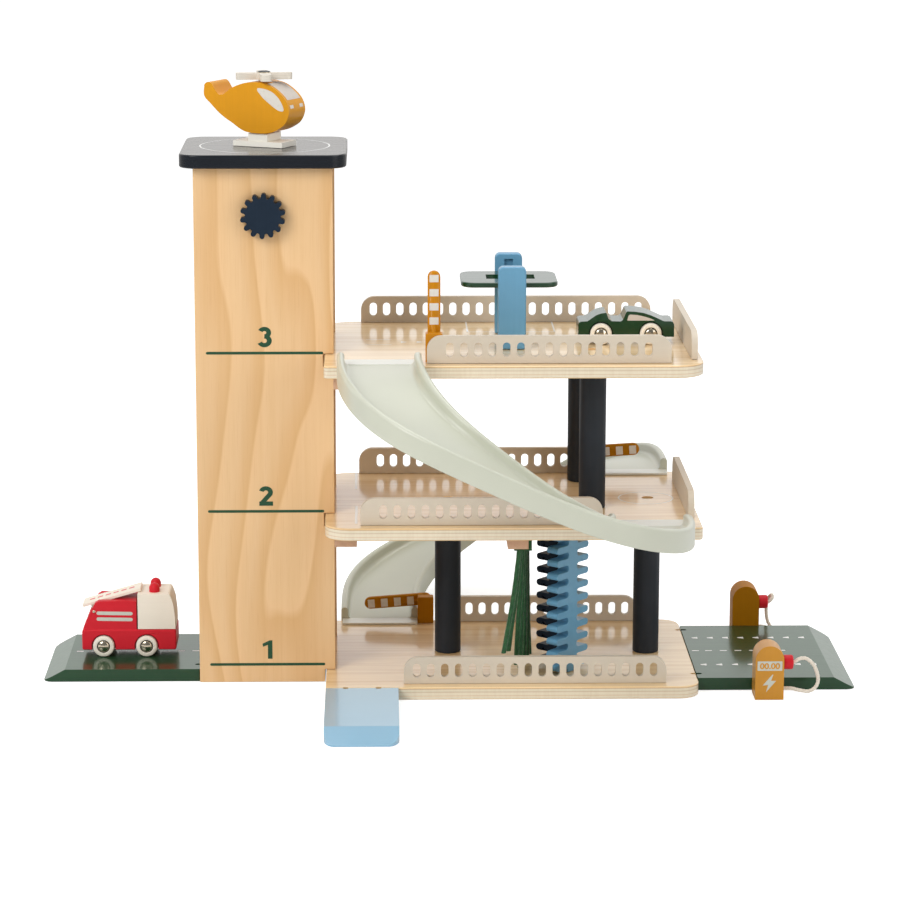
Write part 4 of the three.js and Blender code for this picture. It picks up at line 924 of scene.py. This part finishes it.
def wrap_print(name, loop, start, end, half_width, material, middle=0.0):
    """A printed strip that follows the loop's rim between the points nearest to start and end."""
    def nearest(goal):
        return min(range(len(loop)), key=lambda i: (Vector(loop[i]) - Vector(goal)).length)
    first, last = sorted((nearest(start), nearest(end)))
    points, faces = [], []
    for i in range(first, last + 1):
        here = Vector(loop[i])
        along = (Vector(loop[(i + 1) % len(loop)]) - Vector(loop[i - 1])).normalized()
        out = here + Vector((along.y, -along.x)) * PROUD * WINDOW_WRAP
        points += [(out.x, middle - half_width, out.y), (out.x, middle + half_width, out.y)]
    for i in range(last - first):
        faces.append((2 * i, 2 * i + 1, 2 * i + 3, 2 * i + 2))
    dress(mesh_piece(name, points, faces, HELI_FRAME), material, "garage")


make_helicopter()

ROTOR_REACH = 25.25
ROTOR_BLADE = 9.8
ROTOR_THICKNESS = 6
ROTOR_YAW = 7
ROTOR_CORNER = 3.2
ROTOR_FILLET = 3.5
ROTOR_CAP = (5.8, 1.9)
ROTOR_DROP = 3.2
WASHER_TOP = 0.7


def make_rotor():
    """A cross of four blades in one board, with a low dark cap on a bright washer."""
    half = ROTOR_BLADE / 2
    inner = half + ROTOR_FILLET
    tip = ROTOR_REACH - ROTOR_CORNER
    arm = arc(tip, ROTOR_CORNER - half, ROTOR_CORNER, -90, 0, 6)
    arm += arc(tip, half - ROTOR_CORNER, ROTOR_CORNER, 0, 90, 6)
    arm += arc(inner, inner, ROTOR_FILLET, 270, 180, 6)
    loop = []
    for i in range(4):
        angle = math.radians(90 * i + ROTOR_YAW)
        across, along = math.cos(angle), math.sin(angle)
        loop += [(x * across - y * along, x * along + y * across) for x, y in arm]
    centre = place(*TOWER_CENTRE, box("helicopter_rotor")[1].z - ROTOR_DROP)
    board("rotor_blades", [loop], ROTOR_THICKNESS, centre @ place(0, 0, -ROTOR_THICKNESS / 2), "rotor_ply",
          "rotor", ("helicopter_rotor",), 0.4)
    radius, rise = ROTOR_CAP
    washer = [(0, 0), (radius + 0.3, 0), (radius + 0.3, 0.5), (radius - 0.2, WASHER_TOP), (0, WASHER_TOP)]
    lathe("rotor_washer", washer, centre, "steel", "rotor", steps=48)
    cap = [(0, WASHER_TOP)] + dome(radius, WASHER_TOP, rise - WASHER_TOP, (0, 20, 40, 60, 75))
    lathe("rotor_cap", cap, centre, "dark", "rotor", steps=48)
    pin = [(0, -10), (2.1, -10), (2.1, -4), (0, -4)]
    lathe("rotor_pin", pin, centre, "steel", "rotor", steps=24)


make_rotor()

# The lift's knob and the car wash's brush

KNOB_TEETH = 14
KNOB_TURN = 2.5
KNOB_TIP = (18, 2.15)
KNOB_VALLEY = (17.3, 1.65)


def make_knob():
    """A round knob toothed like a gear, with round tooth ends and round valleys."""
    low, high, middle = box("lift_knob")
    step = 360 / KNOB_TEETH
    loop = []
    for i in range(KNOB_TEETH):
        toward = 90 - KNOB_TURN - step * i
        shapes = ((toward, KNOB_TIP, 90, -90, 10), (toward - step / 2, KNOB_VALLEY, 90, 270, 8))
        for heading, (reach, radius), start, end, steps in shapes:
            x, y = reach * math.cos(math.radians(heading)), reach * math.sin(math.radians(heading))
            loop += arc(x, y, radius, heading + start, heading + end, steps)
    board("lift_knob_gear", [loop], high.y - low.y, place(*middle) @ STAND_UP, "navy", "winder",
          ("lift_knob",), 0.5)


make_knob()

BRUSH_TURN = 49
BRUSH_WIDTH = 46
BRUSH_BOARD = 12
BRUSH_SPINE = 12
BRUSH_RIB = (9.4, 25)
BRUSH_TEETH = 11
BRUSH_TOOTH = 6
BRUSH_GAP = 0.1


def comb_edge(height, root, reach):
    """One toothed edge of a comb from its foot to its top: round tooth ends and round valleys."""
    pitch = height / BRUSH_TEETH
    tip = BRUSH_TOOTH / 2
    valley = (pitch - BRUSH_TOOTH) / 2
    edge = [(root, 0), (root, pitch / 2 - tip)]
    for i in range(BRUSH_TEETH):
        middle = (i + 0.5) * pitch
        edge += arc(reach - tip, middle, tip, -90, 90, 10)
        if i < BRUSH_TEETH - 1:
            edge += arc(root + valley, middle + pitch / 2, valley, 270, 90, 10)
    return edge + [(root, height - pitch / 2 + tip), (root, height)]


def make_brush():
    low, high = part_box("brush_comb_a")
    axis = (low + high) / 2 / MM
    low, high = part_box("brush_comb_b")
    height = (high.z - low.z) / MM
    stand = place(axis.x, axis.y, low.z / MM)
    right = comb_edge(height, BRUSH_SPINE / 2, BRUSH_WIDTH / 2)
    wide = right + [(-x, z) for x, z in reversed(right)]
    narrow = [(0, 0)] + comb_edge(height, *BRUSH_RIB) + [(0, height)]
    combs = (("a", wide, 0, 0, "blue"), ("b", narrow, 90, BRUSH_BOARD / 2 + BRUSH_GAP, "navy"))
    for name, loop, angle, out, paint in combs:
        matrix = stand @ turn(BRUSH_TURN + angle, "Z") @ place(out, 0, 0) @ STAND_UP
        replaced = (f"brush_comb_{name}",)
        board(f"brush_board_{name}", [loop], BRUSH_BOARD, matrix, paint, "brush", replaced, 0.6)


make_brush()

# Entrance ramp

RAMP_BEVEL = 23
RAMP_TOE = 1.2
RAMP_CORNER = (9.5, 18)
RAMP_PIN_RADIUS = 2.8
RAMP_PIN_SPACING = 29.5
CREASE_ANGLE = math.radians(12)


def ramp_outline(low, high, middle):
    """The sloping end from crease to crease, with round corners, and the whole outline with its pins."""
    crease = low.y + RAMP_BEVEL
    across, along = RAMP_CORNER
    slope = [(low.x, crease)]
    slope += [(low.x + across * (1 + x), low.y + along * (1 + y)) for x, y in arc(0, 0, 1, 180, 270, 24)]
    slope += [(high.x - across * (1 - x), low.y + along * (1 + y)) for x, y in arc(0, 0, 1, 270, 360, 24)]
    slope += [(high.x, crease)]
    outline = slope + [(high.x, high.y)]
    for side in (1, -1):
        outline += arc(middle.x + side * RAMP_PIN_SPACING / 2, high.y, RAMP_PIN_RADIUS, 360, 180, 10)
    return slope, outline + [(low.x, high.y)]


def make_ramp():
    """A flat board whose far end slopes down, behind a crisp crease, to a toe with rounded corners."""
    low, high, middle = box("front_ramp")
    slope, outline = ramp_outline(low, high, middle)
    fall = (PLY - RAMP_TOE) / RAMP_BEVEL
    points = [(x, y, 0) for x, y in outline]
    points += [(x, y, min(PLY, RAMP_TOE + (y - low.y) * fall)) for x, y in outline]
    count, crease = len(outline), len(slope)
    faces = [tuple(range(count)), tuple(range(count, count + crease))]
    faces += [tuple(range(count + crease - 1, 2 * count)) + (count,)]
    faces += skin(2, count, capped=False)
    piece = mesh_piece("ramp_board", points, faces)
    rework(piece.data, lambda made: bmesh.ops.triangulate(made, faces=made.faces))
    smooth(piece.data, CREASE_ANGLE)
    dress(piece, "ramp", "garage", ("front_ramp",), 0.6)


make_ramp()

# Prints on the tower, the heliport and the decks

LINE_LEVELS = (16.7, 159.6, 304.5)
LINE_SPAN = (-272.4, -170.2)
LINE_WIDTH = 2.5
NUMERAL_RISE = 5.2
NUMERAL_STROKE = 3.6
NUMERAL_STRETCH = (1.2, 1.06)
NUMERAL_LAYER = 0.06


def stroke(points, width):
    """The outline of a bent stroke with flat ends that follows these points."""
    left, right = [], []
    last = len(points) - 1
    for i, here in enumerate(points):
        along = (Vector(points[min(i + 1, last)]) - Vector(points[max(i - 1, 0)])).normalized()
        aside = Vector((-along.y, along.x)) * width / 2
        left.append(tuple(Vector(here) + aside))
        right.append(tuple(Vector(here) - aside))
    return left + right[::-1]


NUMERALS = (
    [[(0.3, 0), (3.75, 0), (3.75, 16.4), (1.7, 16.4), (-3.75, 13.4), (-3.4, 10.7), (0.3, 12.3)]],
    [stroke(arc(0, 11.7, 3.45, 165, -38, 24) + [(-3.0, 2.4)], NUMERAL_STROKE), rectangle(-5, 0, 5.3, 3.7)],
    [stroke(arc(0.1, 12.5, 3.2, 155, -90, 24), NUMERAL_STROKE),
     stroke(arc(0, 5.6, 3.7, 90, -155, 24), NUMERAL_STROKE)],
)


def print_tower():
    surface = on_front(TOWER_FRONT)
    for number, (level, loops) in enumerate(zip(LINE_LEVELS, NUMERALS), 1):
        line = bar(LINE_SPAN[0], level, LINE_SPAN[1], level, LINE_WIDTH)
        flat_print(f"storey_line_{number}", [line], surface, "print_green")
        for half, loop in enumerate(loops, 1):
            spot = surface @ place(TOWER_CENTRE[0], level + NUMERAL_RISE, half * NUMERAL_LAYER)
            shape = [(x * NUMERAL_STRETCH[0], y * NUMERAL_STRETCH[1]) for x, y in loop]
            flat_print(f"storey_number_{number}_{half}", [shape], spot, "print_green")


print_tower()


def ring_print(name, x, y, radius, width, level):
    flat_print(name, [ring(x, y, radius, 96), ring(x, y, radius - width, 96)], on_top(level), "print_white")


ring_print("heliport_ring", *TOWER_CENTRE, 58.8, 1.3, PAD_TOP)
ring_print("middle_deck_ring", 126, 2, 25.6, 1.4, DECK_TOPS["middle"])

BAY_LINES = ((-37, 113, -37, 57.5), (-37, 57.5, 44, 57.5), (44, 57.5, 44, 113))
BAY_LINE_WIDTH = 1.5
DECK_LINE_LEVELS = (18.4, -9)
DECK_LINE_SPAN = (-131, -107.7)
DECK_LINE_HALF = 0.7
DECK_ARROWS = (-98.8, -84.4)
DECK_ARROW = ((-0.4, 0.4), (4.8, 3), (4.8, 5), (-0.4, 7.6))
DECK_DASHES = ((-140.9, 44.9, 112), (-140, -97.5, -26.8))
DECK_DASH_HALF = 1.1


def print_decks():
    top = on_top(DECK_TOPS["top"])
    for number, line in enumerate(BAY_LINES, 1):
        flat_print(f"hoist_bay_line_{number}", [bar(*line, BAY_LINE_WIDTH, 3)], top, "print_white")
    for number, y in enumerate(DECK_LINE_LEVELS, 1):
        line = rectangle(DECK_LINE_SPAN[0], y - DECK_LINE_HALF, DECK_LINE_SPAN[1], y + DECK_LINE_HALF)
        flat_print(f"top_deck_line_{number}", [line], top, "print_white")
    for number, start in enumerate(DECK_ARROWS, 1):
        arrow = [(start + x, y) for x, y in DECK_ARROW]
        flat_print(f"top_deck_arrow_{number}", [arrow], top, "print_white")
    middle = on_top(DECK_TOPS["middle"])
    for number, (x, start, end) in enumerate(DECK_DASHES, 1):
        dash = rectangle(x - DECK_DASH_HALF, start, x + DECK_DASH_HALF, end)
        flat_print(f"middle_deck_dash_{number}", [dash], middle, "print_white")


print_decks()

ROAD_ARROWS = 8
ROAD_ARROW_PITCH = 14.4
ROAD_ARROW_ROWS = (("back", 178.3, 47.3), ("front", 177.7, -45.6))
ROAD_ARROW = ((-2.9, -1), (2.6, -3.2), (2.6, 3.2), (-2.9, 1))
ROAD_DASHES = 7
ROAD_DASH = (171.6, 13.7, 6.3, 0.9, 3.3)
ROAD_DASH_SHIFT = 1.6
LEFT_DASHES = 9
LEFT_DASH = (-400.6, 13.4, 6.2, 8.2, 10.6)


def dash_loop(number, first, pitch, length, low, high):
    start = first + pitch * number
    return rectangle(start, low, start + length, high)


def print_roads():
    level = on_top(PLY)
    for i in range(ROAD_ARROWS):
        for row, first, y in ROAD_ARROW_ROWS:
            loop = [(first + ROAD_ARROW_PITCH * i + along, y + across) for along, across in ROAD_ARROW]
            flat_print(f"road_arrow_{row}_{i + 1}", [loop], level, "print_white")
        if i < ROAD_DASHES:
            shift = ROAD_DASH_SHIFT if i else 0
            dash = [(x - shift, y) for x, y in dash_loop(i, *ROAD_DASH)]
            flat_print(f"road_dash_{i + 1}", [dash], level, "print_white")
    for i in range(LEFT_DASHES):
        flat_print(f"left_dash_{i + 1}", [dash_loop(i, *LEFT_DASH)], level, "print_white")


print_roads()

# Prints and fittings on the gates, posts and vehicles

GATES = (
    ("top", -70.6, 324.1, -87.9, 90),
    ("middle", 69.6, 178.1, 104.3, 3.5),
    ("base", -75.1, 32.1, 116.1, 184.3),
)
GATE_THICKNESS = 5.5
GATE_PRINT = (8.0, 6.5)
GATE_PRINT_PITCH = 12.6
GATE_PRINT_START = 11.2
GATE_PRINTS = 4


def print_gates():
    width, length = GATE_PRINT
    for name, x, z, y, tilt in GATES:
        for face, depth in (("near", y - PROUD), ("far", y + GATE_THICKNESS + PROUD)):
            matrix = place(x, depth, z) @ turn(-tilt, "Y") @ STAND_UP
            for i in range(GATE_PRINTS):
                along = GATE_PRINT_START + GATE_PRINT_PITCH * i
                loop = rounded(along, -width / 2, along + length, width / 2, 0.4, 2)
                mark = f"{name}_gate_{face}_mark_{i + 1}"
                flat_print(mark, [loop], matrix, "print_window", f"{name}_gate")


print_gates()

DISPLAY = (-11.1, 27, 11.1, 35.7, 0.5, 3)
READING_SIZE = 7.4
READING_BOLD = 0.24
READING_LEVEL = 28.8
READING_STRETCH = 1.1
BOLT = [(2.5, 23.6), (-6.3, 13.3), (-1.2, 13.9), (-3.1, 7.2), (5.7, 17.6), (1.2, 17.7), (3.2, 23.4)]


def print_charger():
    post = box("front_charging_post")
    surface = on_front(post[0].y) @ place(post[2].x, 0, 0)
    flat_print("charger_display", [rounded(*DISPLAY)], surface, "print_silver")
    stretch = Matrix.Diagonal((READING_STRETCH, 1, 1, 1))
    reading = place(0, -PROUD, 0) @ surface @ place(0, READING_LEVEL, 0) @ stretch
    print_words("charger_reading", "00.00", reading, "print_ochre")
    flat_print("charger_bolt", [BOLT], surface, "print_silver")


def print_words(name, words, matrix, material):
    """Plain figures set in Blender's own font, turned into a flat mesh."""
    data = bpy.data.curves.new(name, "FONT")
    data.body = words
    data.size = READING_SIZE * MM
    data.offset = READING_BOLD * MM
    data.align_x = "CENTER"
    mesh = meshed(name, data)
    mesh.transform(matrix)
    dress(added(name, mesh), material, "garage")


print_charger()

ENGINE_REAR = -393.8
ENGINE_FLOOR = 11.7
ENGINE_CENTRE = 10.5
ENGINE_HALF = 19.6
LADDER_PIN = (11.4, 42.5)
LADDER_TILT = 16.2
LADDER_TOP = 7.7
BEACON = (4.9, 3.6)
BEACON_X = 66.7
BEACON_SPREAD = 9.5
BEACON_TOP = box("fire_engine_cab")[1].z + 0.15
STRIPE_LEVELS = (35.6, 41.2)
STRIPE_SPAN = (15.3, 45.3)
STRIPE_FALL = 0.6
STRIPE_WIDTH = 3.3
LADDER_DASHES = 6
LADDER_DASH = (-3.15, 7.6, 5.1, 2)
PIN_END = [(0, 0), (1.2, 0), (1.2, 0.2), (0.8, 0.45), (0, 0.5)]


def on_engine(x, y, z):
    """Places a point that is measured from the fire engine's rear, middle and floor."""
    return place(ENGINE_REAR + x, ENGINE_CENTRE + y, ENGINE_FLOOR + z)


def engine_sides():
    for side, label in SIDES:
        surface = on_engine(0, side * (ENGINE_HALF + PROUD), 0) @ STAND_UP
        for number, level in enumerate(STRIPE_LEVELS, 1):
            stripe = bar(STRIPE_SPAN[0], level, STRIPE_SPAN[1], level - STRIPE_FALL, STRIPE_WIDTH)
            flat_print(f"engine_stripe_{label}_{number}", [stripe], surface, "print_silver", "fire_engine")
        pin = on_engine(LADDER_PIN[0], side * ENGINE_HALF, LADDER_PIN[1]) @ turn(-90 * side, "X")
        lathe(f"ladder_pin_end_{label}", PIN_END, pin, "steel", "fire_engine", steps=24)


def engine_beacons():
    radius, foot = BEACON
    profile = [(0, 0), (radius, 0), (radius, foot)] + dome(radius, foot, radius, (15, 30, 45, 60, 75))
    for side, label in SIDES:
        spot = on_engine(BEACON_X, side * BEACON_SPREAD, BEACON_TOP - foot - radius - ENGINE_FLOOR)
        lathe(f"beacon_{label}", profile, spot, "red", "fire_engine", steps=48)


def ladder_dashes():
    pivot = on_engine(LADDER_PIN[0], 0, LADDER_PIN[1])
    top = pivot @ turn(-LADDER_TILT, "Y") @ place(0, 0, LADDER_TOP + PROUD)
    first, pitch, length, half = LADDER_DASH
    for i in range(LADDER_DASHES):
        start = first + pitch * i
        dash = rounded(start, -half, start + length, half, 0.4, 2)
        flat_print(f"ladder_dash_{i + 1}", [dash], top, "print_red", "ladder")


engine_sides()
engine_beacons()
ladder_dashes()

CAR_HALF = 16.5
CAR_CENTRE = 2.7
CAR_WINDOW = [
    (105.8, 326.3), (106.9, 330.4), (108.4, 331.4), (114.6, 331), (121, 329.7), (126.5, 327.9),
    (130.6, 326.2), (130.2, 325.8), (106.2, 325.9),
]


def car_windows():
    for side, label in SIDES:
        surface = place(0, CAR_CENTRE + side * (CAR_HALF + PROUD), 0) @ STAND_UP
        flat_print(f"car_window_{label}", [CAR_WINDOW], surface, "print_screen", "car")


car_windows()

# Felt strips of the car wash

STRIP_LENGTHS = [95, 96, 112, 118, 119, 117, 120, 119, 120]
STRIP_ROOTS = [-10.5, -8.5, -6.3, -4.4, -2.8, -1.4, -0.4, 0, 0.2]
STRIP_LEANS = [-12.8, -10.4, -5.8, -3.8, -1.6, -1.8, 1.2, 1, 3]
STRIP_X = 15.75
STRIP_TOP = 132.5
STRIP_HEADERS = ((-0.6, 7.7, 3, 10.9), (-7, 1.1, 16, 2.1))
STRIP_FIRST = -98.3
STRIP_PITCH = 10.825
STRIP_HALF = (2.2, 2.1)
STRIP_SIDES = 16
STRIP_RINGS = 40
STRIP_HEADER_MIDDLE = -55
STRIP_HEADER_LENGTH = 90
STRIP_TUCK = 0.5
STRIP_WAVE = 0.5
STRIP_BEND = 1.2
STRIP_TWIST = 0.5
STRIP_FUZZ = 0.07


def make_strip_headers():
    for number, (x, z, width, height) in enumerate(STRIP_HEADERS, 1):
        header = bpy.data.meshes.new(f"strip_header_{number}")
        rework(header, lambda made: bmesh.ops.create_cube(made, size=1))
        size = Matrix.Diagonal((width * MM, STRIP_HEADER_LENGTH * MM, height * MM, 1))
        header.transform(place(STRIP_X + x, STRIP_HEADER_MIDDLE, STRIP_TOP + z) @ size)
        dress(added(f"strip_header_{number}", header), "felt", "garage", (), 0.5)


def strip_middle(number, root, length, lean, share):
    """The middle of a strip at this share of its length: it leans and sways a little on its way down."""
    sway = STRIP_WAVE * math.sin(5 * share + number) * share
    shift = STRIP_WAVE * math.sin(4 * share + 2 * number) * share
    return (STRIP_X + root + lean * share ** STRIP_BEND + sway,
            STRIP_FIRST + STRIP_PITCH * number + shift,
            STRIP_TOP + STRIP_TUCK - length * share)


def make_strips():
    random.seed(7)
    for number, (root, length, lean) in enumerate(zip(STRIP_ROOTS, STRIP_LENGTHS, STRIP_LEANS)):
        twist = random.uniform(-STRIP_TWIST, STRIP_TWIST)
        points, path = [], []
        for i in range(STRIP_RINGS + 1):
            share = i / STRIP_RINGS
            x, y, z = strip_middle(number, root, length, lean, share)
            path.append((x * MM, y * MM, z * MM))
            for k in range(STRIP_SIDES):
                angle = 2 * math.pi * k / STRIP_SIDES + twist * share
                fuzz = 1 + STRIP_FUZZ * noise.noise(Vector((k * 1.7 + number * 9, i * 0.5, 0)))
                points.append((x + STRIP_HALF[0] * fuzz * math.cos(angle),
                               y + STRIP_HALF[1] * fuzz * math.sin(angle), z))
        strip = mesh_piece(f"felt_strip_{number + 1}", points, skin(STRIP_RINGS + 1, STRIP_SIDES))
        dress(strip, "felt", "garage", () if number else ("wash_strips",))


make_strip_headers()
make_strips()

# Ropes of the charging posts, and the lift's cord

ROPE_RADIUS = 1.7
ROPE_RINGS_PER_MM = 1.6
ROPE_TWIST = 9.0
ROPE_SIDES = 24
ROPE_LOBE = 0.14
CURVE_STEPS = 16
STATIONS = {"front": (229, -122.4, 25), "back": (231.4, 92, 25)}
STATION_HALF = 12.8
ROUTES = {
    "front": [
        (9.8, 0, 31.7), (11, 0, 31.9), (15.5, 0, 34.6), (21.5, 0, 34.6), (28.3, 0, 28.4), (32.2, 0, 17.2),
        (30.6, 0, 8.8), (24.4, 0, 4.4), (16.2, 0, 5.2), (9, 0, 7), (4.6, 0, 7.2), (0.3, 0, 7.2),
    ],
    "back": [
        (9.8, 0, 31.7), (11, 0, 31.9), (14, 2, 34.6), (14, 7, 36.6), (11, 12, 31), (10, 14.4, 20),
        (11.5, 15.2, 9), (14, 13, 4), (13.4, 8, 3), (9.5, 3, 5), (5, 0.4, 7.1), (0.3, 0, 7.2),
    ],
}


def curve_through(points, step):
    """Even points of a Catmull-Rom curve through the given ones, and the curve's length."""
    last = len(points) - 1
    fine = []
    for i in range(last):
        near = [points[min(max(i + k, 0), last)] for k in (-1, 0, 1, 2)]
        fine += [spline_point(*near, s / CURVE_STEPS) for s in range(CURVE_STEPS)]
    fine.append(points[-1])
    length = line_length(fine)
    return evenly(fine, round(length / step)), length


def twisted(name, path, radius, pitch, replaced):
    """A three-strand cotton rope along a path, as one closed skin."""
    points = []
    normal = Vector((0, 1, 0))
    travel = 0.0
    last = len(path) - 1
    for i, spot in enumerate(path):
        along = (path[min(i + 1, last)] - path[max(i - 1, 0)]).normalized()
        normal = (normal - along * normal.dot(along)).normalized()
        side = along.cross(normal)
        if i:
            travel += (spot - path[i - 1]).length
        for k in range(ROPE_SIDES):
            angle = 2 * math.pi * k / ROPE_SIDES
            strand = abs(math.cos(1.5 * (angle - 2 * math.pi * travel / pitch)))
            reach = radius * (1 - ROPE_LOBE + ROPE_LOBE * strand)
            points.append(spot + (normal * math.cos(angle) + side * math.sin(angle)) * reach)
    return dress(mesh_piece(name, points, skin(len(path), ROPE_SIDES)), "cotton", "garage", replaced)


def make_ropes():
    for name, (x, face, depth) in STATIONS.items():
        start = Vector((x + STATION_HALF, face + depth / 2, 0))
        points = [start + Vector(spot) for spot in ROUTES[name]]
        path, length = curve_through(points, 1 / ROPE_RINGS_PER_MM)
        rope = twisted(f"{name}_rope", path, ROPE_RADIUS, ROPE_TWIST, (f"{name}_charging_rope",))


make_ropes()

LIFT_CORD_RADIUS = 1.2
LIFT_CORD_TWIST = 7
LIFT_CORD_RINGS = 120


def make_lift_cord():
    low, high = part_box("lift_cord")
    x = (low.x + high.x) / 2 / MM
    y = (low.y + high.y) / 2 / MM
    foot, top = low.z / MM, high.z / MM
    levels = [top + (foot - top) * i / LIFT_CORD_RINGS for i in range(LIFT_CORD_RINGS + 1)]
    path = [Vector((x, y, level)) for level in levels]
    cord = twisted("lift_line", path, LIFT_CORD_RADIUS, LIFT_CORD_TWIST, ("lift_cord",))
    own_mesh(cord)


make_lift_cord()

# Floor, lights and the white room

AMBIENT = (0.33, 0.66)
MIRRORED = (0.2, 1.0)
ROOM_SPAN = 0.7
FLOOR_GLOW = 0.62
FLOOR_HALF = 30000
FLOOR_LEVEL = -0.4
FLOOR_GREY = (0.86, 0.86, 0.86, 1)


def make_floor():
    """Grey paper that glows towards the camera only."""
    mesh = bpy.data.meshes.new("floor")
    corners = rectangle(-FLOOR_HALF, -FLOOR_HALF, FLOOR_HALF, FLOOR_HALF)
    mesh.from_pydata([Vector((x, y, FLOOR_LEVEL)) * MM for x, y in corners], [], [(0, 1, 2, 3)])
    floor = added("floor", mesh)
    paint = Paint("floor_paper", FLOOR_GREY, 0.9, specular=0.1)
    plain = paint.shader.outputs[0]
    glow = paint.add("ShaderNodeEmission", {"Color": CLEAR, "Strength": FLOOR_GLOW})
    both = paint.add("ShaderNodeAddShader", {0: plain, 1: glow.outputs[0]})
    seen = paint.add("ShaderNodeLightPath").outputs["Is Camera Ray"]
    pick = paint.add("ShaderNodeMixShader", {0: seen, 1: plain, 2: both.outputs[0]})
    paint.fill(paint.tree.nodes["Material Output"], {"Surface": pick.outputs[0]})
    mesh.materials.append(paint.material)


def make_world():
    """White to the camera. The object is lit and mirrored brightly from behind, less from in front."""
    world = bpy.data.worlds.new("white_room")
    bpy.context.scene.world = world
    world.use_nodes = True
    room = Nodes(world.node_tree)
    direction = room.add("ShaderNodeTexCoord").outputs["Generated"]
    depth = room.add("ShaderNodeSeparateXYZ", {0: direction}).outputs["Y"]
    ray = room.add("ShaderNodeLightPath")

    def glow(front, back):
        span = room.add("ShaderNodeMapRange", {
            "Value": depth, "From Min": -ROOM_SPAN, "From Max": ROOM_SPAN, "To Min": front, "To Max": back,
        })
        made = room.add("ShaderNodeBackground", {"Color": CLEAR, "Strength": span.outputs["Result"]})
        return made.outputs[0]

    def pick(share, first, second):
        return room.add("ShaderNodeMixShader", {0: share, 1: first, 2: second}).outputs[0]

    mirrored = pick(ray.outputs["Is Glossy Ray"], glow(*AMBIENT), glow(*MIRRORED))
    white = room.tree.nodes["Background"]
    room.fill(white, {"Color": CLEAR, "Strength": 1})
    seen = pick(ray.outputs["Is Camera Ray"], mirrored, white.outputs[0])
    room.fill(room.tree.nodes["World Output"], {"Surface": seen})


LAMPS = (
    ("key", (-1500, -1700, 1650), 1300, 36),
    ("top", (200, 300, 2300), 1600, 18),
    ("fill", (1700, -1500, 900), 1400, 13),
)
LAMP_AIM = (-60, 0, 200)


def make_lamps():
    for name, spot, size, watts in LAMPS:
        data = bpy.data.lights.new(name, "AREA")
        data.shape = "SQUARE"
        data.size = size * MM
        data.energy = watts
        lamp = added(name, data)
        lamp.location = Vector(spot) * MM
        aim = Vector(LAMP_AIM) * MM - lamp.location
        lamp.rotation_euler = aim.to_track_quat("-Z", "Y").to_euler()


make_floor()
make_world()
make_lamps()
bpy.context.scene.view_settings.view_transform = "Standard"
